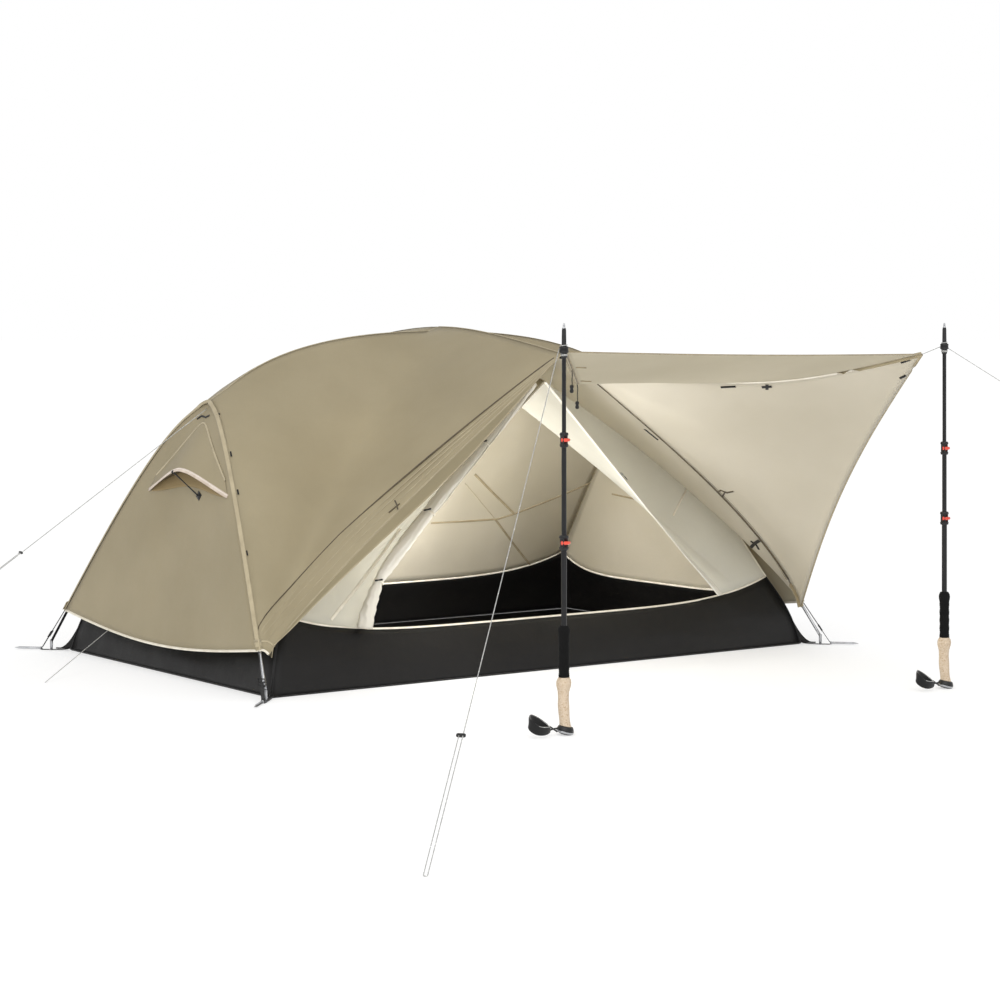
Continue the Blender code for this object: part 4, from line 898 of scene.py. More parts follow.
class Look:
    """A material and the few node chains that every look is put together from."""

    def __init__(self, name):
        self.material = bpy.data.materials.new(name)
        self.material.use_nodes = True
        self.nodes = self.material.node_tree.nodes
        self.links = self.material.node_tree.links
        self.nodes.clear()
        self.output = self.nodes.new("ShaderNodeOutputMaterial")
        self.shader = self.nodes.new("ShaderNodeBsdfPrincipled")
        self.coordinates = self.nodes.new("ShaderNodeTexCoord")
        self.links.new(self.shader.outputs["BSDF"], self.output.inputs["Surface"])

    def noise(self, scale, detail=3.0, stretch=None):
        made = self.nodes.new("ShaderNodeTexNoise")
        made.inputs["Scale"].default_value = scale
        made.inputs["Detail"].default_value = detail
        source = self.coordinates.outputs["Object"]
        if stretch:
            mapping = self.nodes.new("ShaderNodeMapping")
            mapping.inputs["Scale"].default_value = stretch
            self.links.new(source, mapping.inputs["Vector"])
            source = mapping.outputs["Vector"]
        self.links.new(source, made.inputs["Vector"])
        return made.outputs["Fac"]

    def wave(self, period, direction="X", turn=0.0):
        """Lines a period apart in metres of the piece's own surface."""
        mapping = self.nodes.new("ShaderNodeMapping")
        mapping.inputs["Rotation"].default_value = (0.0, 0.0, turn)
        self.links.new(self.coordinates.outputs["UV"], mapping.inputs["Vector"])
        made = self.nodes.new("ShaderNodeTexWave")
        made.bands_direction = direction
        made.inputs["Scale"].default_value = 0.3142 / period
        made.inputs["Distortion"].default_value = 0.0
        self.links.new(mapping.outputs["Vector"], made.inputs["Vector"])
        return made.outputs["Fac"]

    def math(self, operation, a, b=None):
        made = self.nodes.new("ShaderNodeMath")
        made.operation = operation
        for socket, value in zip(made.inputs, (a, b)):
            if isinstance(value, (int, float)):
                socket.default_value = value
            elif value is not None:
                self.links.new(value, socket)
        return made.outputs["Value"]

    def saw(self, length, period):
        """A ridge that rises and falls once in each period along a length."""
        share = self.math("FRACT", self.math("DIVIDE", length, period))
        return self.math("ABSOLUTE", self.math("SUBTRACT", share, 0.5))

    def across_and_along(self):
        """The share across a tape, and the metres along it."""
        split = self.nodes.new("ShaderNodeSeparateXYZ")
        self.links.new(self.coordinates.outputs["UV"], split.inputs["Vector"])
        return split.outputs["X"], split.outputs["Y"]

    def ramp(self, factor, stops):
        made = self.nodes.new("ShaderNodeValToRGB")
        band = made.color_ramp.elements
        band[0].position, band[0].color = stops[0][0], srgb(stops[0][1])
        band[1].position, band[1].color = stops[-1][0], srgb(stops[-1][1])
        for place, code in stops[1:-1]:
            stop = band.new(place)
            stop.color = srgb(code)
        self.links.new(factor, made.inputs["Fac"])
        return made.outputs["Color"]

    def spread(self, factor, low, high):
        made = self.nodes.new("ShaderNodeMapRange")
        made.inputs["To Min"].default_value = low
        made.inputs["To Max"].default_value = high
        self.links.new(factor, made.inputs["Value"])
        return made.outputs["Result"]

    def mix(self, factor, first, second):
        made = self.nodes.new("ShaderNodeMix")
        made.data_type = "RGBA"
        self.links.new(factor, made.inputs["Factor"])
        self.links.new(first, made.inputs["A"])
        if isinstance(second, str):
            made.inputs["B"].default_value = srgb(second)
        else:
            self.links.new(second, made.inputs["B"])
        return made.outputs["Result"]

    def raise_by(self, heights):
        """Bumps of (height, distance in metres) one over another."""
        below = None
        for height, distance in heights:
            made = self.nodes.new("ShaderNodeBump")
            made.inputs["Strength"].default_value = 1.0
            made.inputs["Distance"].default_value = distance
            self.links.new(height, made.inputs["Height"])
            if below:
                self.links.new(below, made.inputs["Normal"])
            below = made.outputs["Normal"]
        self.links.new(below, self.shader.inputs["Normal"])

    def set(self, **values):
        for name, value in values.items():
            socket = self.shader.inputs[name.replace("_", " ")]
            if isinstance(value, bpy.types.NodeSocket):
                self.links.new(value, socket)
            else:
                socket.default_value = value

    def let_through(self, colour, glow=0.0, clear=0.0):
        """Mixes in light from behind, and a share of plain see-through."""
        surface = self.shader.outputs["BSDF"]
        for kind, share in (("ShaderNodeBsdfTranslucent", glow), ("ShaderNodeBsdfTransparent", clear)):
            if share:
                other = self.nodes.new(kind)
                mixer = self.nodes.new("ShaderNodeMixShader")
                mixer.inputs["Fac"].default_value = share
                if kind == "ShaderNodeBsdfTranslucent":
                    self.links.new(colour, other.inputs["Color"])
                self.links.new(surface, mixer.inputs[1])
                self.links.new(other.outputs["BSDF"], mixer.inputs[2])
                surface = mixer.outputs["Shader"]
        self.links.new(surface, self.output.inputs["Surface"])


def cloth_look(name, light, dark, rough=0.62, grid=0.005, thread=0.00055, glow=0.0, clear=0.0, sheen=0.1):
    """Ripstop cloth: a fine weave, a stronger thread grid, soft puckers and uneven tint."""
    look = Look(name)
    tint = look.ramp(look.noise(1.7, 4.0), [(0.36, dark), (0.66, light)])
    grids = look.math("MAXIMUM", look.wave(grid, "X"), look.wave(grid, "Y"))
    lines = look.math("POWER", grids, 14.0)
    weave = look.math("MULTIPLY", look.wave(thread, "X"), look.wave(thread, "Y"))
    fleck = look.noise(90.0, 3.0)
    tinted = look.mix(look.math("MULTIPLY", fleck, 0.22), tint, dark)
    look.set(Base_Color=tinted, Roughness=look.spread(look.noise(11.0, 3.0), rough - 0.07, rough + 0.09))
    look.set(Sheen_Weight=sheen, Sheen_Roughness=0.4, Specular_IOR_Level=0.3)
    puckers, swells = look.noise(38.0, 5.0), look.noise(9.0, 3.0)
    look.raise_by([(lines, 0.00012), (weave, 0.00006), (puckers, 0.0007), (swells, 0.003)])
    if glow or clear:
        look.let_through(tinted, glow, clear)
    return look.material


def taped_look(name, light, dark, thread, rough=0.7):
    """Tape or webbing with rows of stitching; its pattern runs in shares across and metres along."""
    look = Look(name)
    across, length = look.across_and_along()
    rows = []
    for row in STITCH_ROWS:
        off = look.math("ABSOLUTE", look.math("SUBTRACT", across, row))
        rows.append(look.math("LESS_THAN", off, 0.06))
    stitches = look.math("MAXIMUM", *rows)
    dash = look.math("LESS_THAN", look.math("FRACT", look.math("DIVIDE", length, STITCH_PITCH)), 0.62)
    stitches = look.math("MULTIPLY", stitches, dash)
    tint = look.ramp(look.noise(30.0, 3.0), [(0.3, dark), (0.7, light)])
    gloss = look.spread(look.noise(60.0), rough - 0.1, rough + 0.1)
    look.set(Base_Color=look.mix(stitches, tint, thread), Roughness=gloss)
    look.set(Sheen_Weight=0.15, Specular_IOR_Level=0.3)
    rib = look.saw(length, TAPE_RIB)
    look.raise_by([(rib, 0.00025), (stitches, 0.0004), (look.noise(70.0, 4.0), 0.0005)])
    return look.material


def hard_look(name, light, dark, rough=0.4, metal=0.0, grain=220.0, depth=0.00008, streak=None, coat=0.0):
    """Plastic or metal: tint and gloss that vary a little, and a fine grain."""
    look = Look(name)
    source = look.noise(grain, 4.0, stretch=streak)
    broad = look.noise(24.0, 3.0)
    look.set(Base_Color=look.ramp(broad, [(0.3, dark), (0.7, light)]), Metallic=metal, Coat_Weight=coat)
    look.set(Roughness=look.spread(source, max(rough - 0.08, 0.05), rough + 0.12))
    look.raise_by([(source, depth), (broad, depth * 2)])
    return look.material


def cord_look(name, light, dark, fleck):
    """Braided cord: two crossing spirals of yarn and a reflective fleck."""
    look = Look(name)
    first = look.wave(0.0022, "DIAGONAL")
    second = look.wave(0.0022, "DIAGONAL", math.pi / 2)
    braid = look.math("MAXIMUM", first, second)
    tint = look.ramp(braid, [(0.25, dark), (0.8, light)])
    spots = look.math("GREATER_THAN", look.noise(260.0, 1.0), 0.64)
    look.set(Base_Color=look.mix(spots, tint, fleck), Roughness=look.spread(braid, 0.75, 0.5))
    look.raise_by([(braid, 0.0004), (look.noise(400.0), 0.0001)])
    return look.material


def cork_look():
    look = Look("pressed_cork")
    cells = look.nodes.new("ShaderNodeTexVoronoi")
    cells.inputs["Scale"].default_value = 330.0
    look.links.new(look.coordinates.outputs["Object"], cells.inputs["Vector"])
    grey = look.nodes.new("ShaderNodeRGBToBW")
    look.links.new(cells.outputs["Color"], grey.inputs["Color"])
    grain = look.ramp(grey.outputs["Val"], [(0.0, "9C8064"), (0.25, "BAA78E"), (1.0, "CBBAA5")])
    pits = look.math("GREATER_THAN", look.noise(240.0, 2.0), 0.69)
    gloss = look.spread(look.noise(120.0), 0.55, 0.85)
    look.set(Base_Color=look.mix(pits, grain, "AE9274"), Roughness=gloss)
    look.raise_by([(pits, -0.0004), (grey.outputs["Val"], 0.0003), (look.noise(500.0), 0.0002)])
    return look.material


def foam_look():
    look = Look("closed_cell_foam")
    pores = look.noise(620.0, 4.0)
    look.set(Base_Color=look.ramp(pores, [(0.3, "050505"), (0.75, "141414")]))
    look.set(Roughness=look.spread(look.noise(40.0), 0.78, 0.95), Sheen_Weight=0.0, Specular_IOR_Level=0.2)
    look.raise_by([(pores, 0.0005), (look.noise(90.0, 3.0), 0.0006)])
    return look.material


def zip_look(name, tape, teeth):
    """A coil zip: teeth down the middle of a woven tape."""
    look = Look(name)
    across, length = look.across_and_along()
    off = look.math("ABSOLUTE", look.math("SUBTRACT", across, 0.5))
    middle = look.math("LESS_THAN", off, 0.17)
    tooth = look.saw(length, ZIP_PITCH)
    tint = look.ramp(look.noise(50.0, 3.0), [(0.3, tape), (0.7, tape)])
    darker = look.ramp(tooth, [(0.08, teeth), (0.3, tape)])
    look.set(Base_Color=look.mix(middle, tint, darker), Roughness=look.spread(middle, 0.75, 0.42))
    raised = look.math("MULTIPLY", tooth, middle)
    look.raise_by([(raised, 0.0012), (middle, 0.0009), (look.noise(160.0), 0.0002)])
    return look.material


LOOKS = {
    "fly": cloth_look("fly_outside", "B3A78A", "A5997C", 0.52, glow=0.30),
    # painted shade: the storm flap is the fly's own cloth, given a darker copy of its colour for the shade it
    # lies in
    "flap": cloth_look("fly_flap", "A69A7C", "988D70", 0.52, glow=0.30),
    "fly_in": cloth_look("fly_inside", "CBC4B0", "BDB59E", 0.66, glow=0.30),
    # painted light: the awning is the fly's own cloth; these lighter copies of its outside and inside colours
    # stand for the light that falls on it and through it
    "awning": cloth_look("awning_outside_lit", "C4B99E", "B5AA8E", 0.52, glow=0.50),
    "awning_in_lit": cloth_look("awning_inside_lit", "D9D3C1", "CEC7B2", 0.66, glow=0.50),
    # painted light: a still lighter copy of the inside cloth, for the awning wall and the fly's front right
    # panel, where light through the cloth is painted in
    "wall_in_lit": cloth_look("awning_wall_inside_lit", "EBE6D9", "E2DCCC", 0.66, glow=0.50),
    "inner": cloth_look("inner_nylon", "D3CBB8", "C5BCA5", 0.68, glow=0.40),
    # painted shade: a darker copy of the inner nylon for the top of the front left panel, which lies in shade
    # under the fly
    "inner_shaded": cloth_look("inner_upper_shaded", "BEB49A", "AEA388", 0.68, glow=0.40),
    "mesh": cloth_look("inner_mesh", "E6E4DA", "D6D3C7", 0.75, grid=0.0035, glow=0.45, clear=0.20),
    "roll": cloth_look("door_cloth", "F4F0E6", "E4DFD2", 0.66, glow=0.30),
    "tub": cloth_look("tub_nylon", "191817", "100F0F", 0.50, grid=0.006, sheen=0.0),
    "floor": cloth_look("floor_nylon", "0B0A0A", "060606", 0.62, grid=0.006, sheen=0.0),
    "seam": taped_look("leg_seam", "B1A588", "A1957A", "8F8368"),
    "cream": taped_look("cream_binding", "EDE8DA", "DAD2C0", "C9BFA8"),
    "brown": taped_look("brown_binding", "9A8C6E", "7F7154", "B8AC90"),
    "dark_seam": taped_look("dark_zip_tape", "5A4F3A", "3A3224", "8A7C5E"),
    # painted shadow: the brown of the vent's net patch stands for the shade under the hood's lip
    "vent_shadow_net": cloth_look("vent_shadow_net", "A8936A", "94805A", 0.8, grid=0.002, glow=0.15),
    "lip": taped_look("vent_binding", "D8CABC", "BFAF9F", "E8DED2"),
    "webbing": taped_look("black_webbing", "1A1A1A", "0D0D0D", "303030", 0.75),
    "grey_webbing": taped_look("grey_webbing", "8C8B78", "6E6D5C", "A5A490"),
    "zip": zip_look("white_zip", "EFEBE0", "C5BEAD"),
    "black_zip": zip_look("black_zip", "26241F", "0E0D0B"),
    "cord": cord_look("guy_cord", "B9B9B6", "8C8C8A", "E8E8E4"),
    "black_cord": cord_look("shock_cord", "2A2A2A", "101010", "505050"),
    "pole": hard_look("black_anodised", "1B1B1D", "0E0E10", 0.28, 0.9, streak=(40.0, 40.0, 2.0)),
    "silver": hard_look("silver_alloy", "C9CACC", "A5A6A9", 0.26, 1.0, streak=(40.0, 40.0, 2.0)),
    "shaft": hard_look("printed_shaft", "131315", "0A0A0B", 0.28, 0.4, coat=0.15, streak=(40.0, 40.0, 3.0)),
    "plastic": hard_look("black_plastic", "151516", "0B0B0C", 0.42, depth=0.00015),
    "red": hard_look("red_plastic", "E04A34", "C93A28", 0.32, depth=0.0001, coat=0.3),
    "cork": cork_look(),
    "foam": foam_look(),
}


# Building pieces.


def link(name, mesh, looks, body="tent", node=None):
    for look in looks:
        mesh.materials.append(LOOKS[look])
    made = bpy.data.objects.new(name, mesh)
    bpy.context.scene.collection.objects.link(made)
    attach(made, body)
    if node:
        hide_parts(node)
    return made


def mesh_of(name, points, faces, corner_uvs, smooth=True):
    mesh = bpy.data.meshes.new(name)
    mesh.from_pydata([tuple(p) for p in points], [], faces)
    layer = mesh.uv_layers.new(name="metres")
    for i, uv in enumerate(corner_uvs):
        layer.data[i].uv = uv
    if smooth:
        mesh.shade_smooth()
    return mesh


def quad(row, first, second, count):
    """A face between two rows of count points, from the first to the second point of each."""
    low, high = row * count, (row + 1) * count
    return (low + first, low + second, high + second, high + first)


def length_of(path):
    return sum((b - a).length for a, b in zip(path, path[1:]))


def loop_round(centre, across, up, steps):
    """A closed path round a centre; across and up are its two half axes."""
    angles = [2 * math.pi * k / steps for k in range(steps + 1)]
    return [centre + across * math.cos(a) + up * math.sin(a) for a in angles]


def grid_faces(grid):
    """Faces of an even grid, or of a fan whose rows grow by one point."""
    starts = [0]
    for row in grid:
        starts.append(starts[-1] + len(row))
    faces = []
    for j in range(len(grid) - 1):
        low, high = starts[j], starts[j + 1]
        count = len(grid[j])
        if len(grid[j + 1]) == count:
            faces += [(low + i, low + i + 1, high + i + 1, high + i) for i in range(count - 1)]
        else:
            faces += [(high + i, high + i + 1, low + i) for i in range(count)]
            faces += [(low + i, high + i + 1, low + i + 1) for i in range(count - 1)]
    return faces


def square_to(points, faces):
    """Unit vectors square to the surface at each point, facing out of the tent."""
    squares = [Vector() for _ in points]
    for face in faces:
        a, b, c = (points[k] for k in face[:3])
        square = (b - a).cross(c - a)
        for k in face:
            squares[k] += square
    middle = sum(points, Vector()) / len(points)
    total = sum(squares, Vector())
    if total.dot(middle - INSIDE) < 0.0:
        return [-s.normalized() for s in squares], True
    return [s.normalized() for s in squares], False


PANELS = {}


def pulled_tight(grid, rounds):
    """The grid with its inside evened out, as cloth under tension is, and its border kept."""
    grid = [[p.copy() for p in row] for row in grid]
    for _ in range(rounds):
        fresh = [[p.copy() for p in row] for row in grid]
        for j in range(1, len(grid) - 1):
            for i in range(1, len(grid[j]) - 1):
                around = grid[j][i - 1] + grid[j][i + 1] + grid[j - 1][i] + grid[j + 1][i]
                fresh[j][i] = grid[j][i] * 0.4 + around * 0.15
        grid = fresh
    return grid


def grid_shares(grid):
    """Each point's shares across and up the grid."""
    rows = len(grid) - 1
    return [(i / max(len(row) - 1, 1), j / rows) for j, row in enumerate(grid) for i in range(len(row))]


def laid_flat(grid, points, squares):
    """Each point's place on the cloth when it lies flat along its widest row."""
    widest = max(grid, key=lambda row: (row[-1] - row[0]).length)
    across = (widest[-1] - widest[0]).normalized()
    up = sum(squares, Vector()).normalized().cross(across).normalized()
    return [(p.dot(across), p.dot(up)) for p in points]


def thicken(piece, thickness):
    """Gives a surface its thickness, half to each side."""
    solid = piece.modifiers.new("cloth", "SOLIDIFY")
    solid.thickness = thickness
    solid.offset = 0.0
    return solid


def panel(name, grid, looks, stand, relief=None, node=None, thick=CLOTH, run=None):
    """A sheet of cloth on a grid of points, with its own thickness and weave directions; its flat size is
    worked out but not kept.
    """
    points = [p.copy() for row in grid for p in row]
    faces = grid_faces(grid)
    squares, turned_round = square_to(points, faces)
    if turned_round:
        faces = [tuple(reversed(face)) for face in faces]
    for k, (s, t) in enumerate(grid_shares(grid)):
        rise = stand + relief(s, t, points[k]) if relief else stand
        points[k] = points[k] + squares[k] * rise
    flat = laid_flat(grid, points, squares)
    mesh = mesh_of(name, points, faces, [flat[k] for face in faces for k in face])
    made = link(name, mesh, looks, node=node or name)
    solid = thicken(made, thick)
    if len(looks) > 1:
        solid.material_offset = 1
    area = sum(face.area for face in mesh.polygons)
    if run:
        width, length = area / run, run
    else:
        width, length = (max(f[a] for f in flat) - min(f[a] for f in flat) for a in (0, 1))
        grow = max(1.0, math.sqrt(area / (width * length * FULL_SHARE)))
        width, length = width * grow, length * grow
        area = max(area, LEAST_SHARE * width * length)
    PANELS[name] = BVHTree.FromPolygons([tuple(p) for p in points], faces)
    return made


def held_in(s, t, reach=0.12):
    """0 on a panel's border and 1 inside it."""
    near = min(s, 1.0 - s, t, 1.0 - t) / reach
    return 1.0 if near >= 1.0 else near * near * (3.0 - 2.0 * near)


def pulled(amount, run, seed, long=1.1, short=9.0, reach=0.12):
    """Relief of soft creases that lie along the pull of the cloth."""
    run = run.normalized()

    def relief(s, t, point):
        away = point - run * point.dot(run)
        place = run * (point.dot(run) * long) + away * short + Vector((seed, seed * 1.7, seed * 2.3))
        broad = noise.noise(point * 1.9 + Vector((seed, 0.0, 0.0)))
        return amount * held_in(s, t, reach) * (noise.noise(place) + 0.8 * broad)

    return relief


def frames(path, out):
    """Side and out vectors along a path; out is one vector or one for each point."""
    outs = out if isinstance(out, list) else [out] * len(path)
    found = []
    for i in range(len(path)):
        run = path[min(i + 1, len(path) - 1)] - path[max(i - 1, 0)]
        side = run.cross(outs[i]).normalized()
        found.append((side, side.cross(run).normalized()))
    return found


def sweep(name, path, out, profile, look, body="tent", ring=True, ends=True, node=None,
          smooth=True, grow=None):
    """A profile of (side, out) offsets drawn along a path."""
    points, faces, uvs = [], [], []
    count = len(profile)
    length = 0.0
    lengths = []
    for i, ((side, up), point) in enumerate(zip(frames(path, out), path)):
        if i:
            length += (point - path[i - 1]).length
        lengths.append(length)
        size = grow(i / (len(path) - 1)) if grow else 1.0
        points += [point + side * (a * size) + up * (b * size) for a, b in profile]
    spans = count if ring else count - 1
    for i in range(len(path) - 1):
        near, far = lengths[i], lengths[i + 1]
        for k in range(spans):
            faces.append(quad(i, k, (k + 1) % count, count))
            low, high = k / spans, (k + 1) / spans
            uvs += [(low, near), (high, near), (high, far), (low, far)]
    if ring and ends:
        last = (len(path) - 1) * count
        faces += [tuple(reversed(range(count))), tuple(range(last, last + count))]
        uvs += [(0.5, 0.0)] * count + [(0.5, length)] * count
    return link(name, mesh_of(name, points, faces, uvs, smooth), [look], body, node)


def dome(half, rise, sink=0.0006):
    """A flat band whose edges dip into the cloth below it."""
    right = [(half, -sink), (half * 0.94, rise * 0.7), (half * 0.5, rise)]
    return right + [(-side, up) for side, up in reversed(right)]


def oval(half_wide, half_thick, sides=12):
    angles = [2 * math.pi * k / sides for k in range(sides)]
    return [(half_wide * math.cos(a), half_thick * math.sin(a)) for a in angles]


def slab(half, thick):
    """A strap's section with eased edges."""
    ease = thick * 0.3
    h = thick / 2
    return [
        (half, -h + ease), (half, h - ease), (half - ease, h), (-half + ease, h),
        (-half, h - ease), (-half, -h + ease), (-half + ease, -h), (half - ease, -h),
    ]


def lathe(name, profile, place, look, body="tent", steps=56, node=None, axis=UP, bend=None):
    """A turned piece; profile is (radius, height) pairs and bend shifts each height sideways."""
    turn = axis.to_track_quat("Z", "Y")
    points, faces, uvs = [], [], []
    runs = [0.0]
    for before, after in zip(profile, profile[1:]):
        runs.append(runs[-1] + math.dist(after, before))
    for radius, height in profile:
        shift = bend(height) if bend else Vector()
        for k in range(steps):
            angle = 2 * math.pi * k / steps
            point = Vector((radius * math.cos(angle), radius * math.sin(angle), height))
            points.append(place + turn @ point + shift)
    for i in range(len(profile) - 1):
        wide = 2 * math.pi * max(profile[i][0], 0.004) / steps
        for k in range(steps):
            faces.append(quad(i, k, (k + 1) % steps, steps))
            left, right = k * wide, (k + 1) * wide
            uvs += [(left, runs[i]), (right, runs[i]), (right, runs[i + 1]), (left, runs[i + 1])]
    mesh = mesh_of(name, points, faces, uvs)
    mesh.flip_normals()
    return link(name, mesh, [look], body, node)


def boxed(name, size, place, axes, look, body="tent", ease=0.0008, node=None):
    """A block with rounded edges, set along three unit axes."""
    mesh = bmesh.new()
    bmesh.ops.create_cube(mesh, size=1.0)
    bmesh.ops.scale(mesh, vec=size, verts=mesh.verts)
    round_off = min(ease, min(size) * 0.45)
    bmesh.ops.bevel(mesh, geom=mesh.edges[:], offset=round_off, segments=3, affect="EDGES")
    turn = Matrix(axes).transposed()
    for vertex in mesh.verts:
        vertex.co = place + turn @ vertex.co
    data = bpy.data.meshes.new(name)
    mesh.to_mesh(data)
    mesh.free()
    data.shade_smooth()
    data.uv_layers.new(name="metres")
    return link(name, data, [look], body, node)


def joined(name, pieces):
    """Several pieces of one body as one piece that keeps the first one's name and ties."""
    bpy.ops.object.select_all(action="DESELECT")
    for piece in pieces:
        piece.select_set(True)
    bpy.context.view_layer.objects.active = pieces[0]
    bpy.ops.object.join()
    pieces[0].name = name
    return pieces[0]


def on_panel(name, pixels, cells=8):
    """The path on a panel that covers a broken line of the photograph's pixels."""
    path, outs = [], []
    for (xa, ya), (xb, yb) in zip(pixels, pixels[1:]):
        for i in range(cells + (1 if (xb, yb) == pixels[-1] else 0)):
            ray = pixel_ray(xa + (xb - xa) * i / cells, ya + (yb - ya) * i / cells)
            place, square, _, _ = PANELS[name].ray_cast(EYE, ray)
            if place is None:
                continue
            if square.dot(ray) > 0.0:
                square = -square
            path.append(place)
            outs.append(square)
    return path, outs


# The pieces of the tent, one function for each group.


def make_cords():
    """The four free cords, each on the line that the model gives it."""
    lead = round_basket(0, AWNING_LEFT, FRONT_LINE_END, 1)
    side = (FRONT_LINE_END - lead[-1]).cross(UP).normalized()
    front = lead[:-1] + line_points(lead[-1], FRONT_LINE_END, FRONT_TENSIONER, side)
    lead = round_basket(1, AWNING_RIGHT, RIGHT_LINE_END, -1)
    right = lead + [lead[-1].lerp(RIGHT_LINE_END, i / 8) for i in range(1, 9)]
    end = fly_end_grid(-1)
    surface, out = on_grid(end, 0.5, LEFT_LINE_ROW)
    tie = surface + out * (FLY_SHEET + LINE_RADIUS + CLEAR)
    left = line_points(tie, LEFT_LINE_END, LEFT_TENSIONER, Vector((0.0, 1.0, 0.0)))
    place = end[0][round(HEM_CORD_SHARE * SHORT_CELLS)] + Vector((-FLY_SHEET / 2, 0.0, -LINE_RADIUS))
    hem = [place.lerp(HEM_CORD_END, i / 8) for i in range(9)]
    lines = {"guyline_front": front, "guyline_right": right, "guyline_left": left, "hem_cord": hem}
    for name, path in lines.items():
        path = eased(path)
        round_line = oval(LINE_RADIUS, LINE_RADIUS, 10)
        made = sweep(name, path, Vector((0.02, 0.03, 1.0)), round_line, "cord", node=name)


def eased(path):
    """The path with each stretch cut finer, so that a long straight run follows its bends."""
    cut = []
    for a, b in zip(path, path[1:]):
        parts = max(1, min(12, int((b - a).length / 0.02)))
        cut += [a.lerp(b, i / parts) for i in range(parts)]
    return cut + [path[-1]]


def line_points(start, end, tensioner_share, side):
    half = LINE_STRAND_GAP / 2
    run = (end - start).normalized()
    knot = start.lerp(end, tensioner_share)
    near = knot - side * half
    far = knot + side * half
    turn = end - run * half
    down = [start.lerp(near, i / 18) for i in range(18)]
    first = [near.lerp(turn - side * half, i / 6) for i in range(6)]
    loop = []
    for k in range(13):
        angle = math.pi * k / 12
        loop.append(turn - side * half * math.cos(angle) + run * half * math.sin(angle))
    second = [(turn + side * half).lerp(far, i / 6) for i in range(1, 7)]
    return down + first + loop + second + [far - run * TENSIONER_SHEET]


def round_basket(which, corner, far_end, turn):
    """The cord's way from an awning corner round a pole's basket collar."""
    axis = POLE_PLACES[which] + UP * (POLE_TIPS[which] - BASKET_DROP)
    radius = BASKET_RADIUS + LINE_RADIUS + CLEAR
    angles = []
    for point, sign in ((corner, turn), (far_end, -turn)):
        away = point - axis
        away.z = 0.0
        angles.append(math.atan2(away.y, away.x) + sign * math.acos(radius / away.length))
    sweep_angle = (angles[1] - angles[0]) * turn % (2 * math.pi) * turn
    arc = []
    for i in range(11):
        angle = angles[0] + sweep_angle * i / 10
        arc.append(axis + Vector((math.cos(angle), math.sin(angle), 0.0)) * radius)
    start = corner + (arc[0] - corner).normalized() * CLEAR / 2
    return [start, start.lerp(arc[0], 0.5)] + arc


def laid_on(name, path, outs, look, half, rise, lift, slot, grow=None):
    """A flat band along a path, lifted off the cloth below it."""
    raised_path = [p + o.normalized() * lift for p, o in zip(path, outs)]
    return sweep(name, raised_path, outs, dome(half, rise), look, ring=False, grow=grow)


def seam(name, path, outs, kind=None, lift=FLY_SHEET / 2 + CLOTH / 2, slot="fly_ripstop", grow=None):
    """Tape laid flat along a path; outs is one way out or one for each point."""
    outs = outs if isinstance(outs, list) else [outs] * len(path)
    return laid_on(name, path, outs, *TAPES[kind or name], lift, slot, grow)


def outs_between(path, first, second):
    """For each point of a seam, the middle of the ways out of the two panels beside it."""
    found = []
    for point in path:
        total = Vector()
        for tree in (first, second):
            _, square, _, _ = tree.find_nearest(point)
            if square.dot(point - INSIDE) < 0.0:
                square = -square
            total += square
        found.append(total.normalized())
    return found


def binding(name, path, outs, kind=None):
    """Tape folded over a hem; outs is one way out, one for each point, or the name of a panel."""
    look, half, thick = TAPES[kind or name]
    if isinstance(outs, str):
        outs = panel_outs(path, outs)
    outs = outs if isinstance(outs, list) else [outs] * len(path)
    moved = [p + o.normalized() * (FLY_SHEET / 2) for p, o in zip(path, outs)]
    return sweep(name, moved, outs, oval(half, thick), look)


def panel_outs(path, name):
    found = []
    for point in path:
        _, square, _, _ = PANELS[name].find_nearest(point)
        found.append(square if square.dot(point - INSIDE) > 0.0 else -square)
    return found


def make_fly():
    legs = {}
    for word, (x_side, y_side) in CORNERS.items():
        grid = pulled_tight(fly_side_grid(x_side, y_side), FLY_ROUNDS)
        pull = Vector((x_side * -0.8, 0.0, 0.6)) if y_side < 0 else Vector((x_side * -0.7, 0.3, 0.6))
        creases = pulled(0.0035 if y_side < 0 else 0.005, pull, 3.0 + x_side + 2 * y_side)
        name = f"fly_{word}"
        # The front right panel's inside takes the lighter awning-wall copy, painted light on its shaded band.
        inside = "wall_in_lit" if word == "front_right" else "fly_in"
        panel(name, grid, ["fly", inside], FLY_SHEET / 2, creases)
        legs[word] = fly_leg(x_side, y_side)
        binding(f"fly_hem_{word}", grid[0], name, "fly_hem")
        seam(f"fly_hem_fold_{word}", grid[1], panel_outs(grid[1], name), "fly_hem_fold")
    for x_side, word in ((-1, "left"), (1, "right")):
        grid = fly_end_grid(x_side)
        name = f"fly_{word}_end"
        creases = pulled(0.004, Vector((0.0, 0.15, 1.0)), 9.0 + x_side, long=1.6, short=7.0)
        panel(name, grid, ["fly", "fly_in"], FLY_SHEET / 2,
              creases)
        binding(f"fly_hem_{word}_end", grid[0], name, "fly_hem")
    for word, path in legs.items():
        end = f"fly_{word.split('_')[1]}_end"
        outs = outs_between(path, PANELS[f"fly_{word}"], PANELS[end])
        seam(f"leg_seam_{word}", path, outs, "leg_seam")
    make_fly_top()


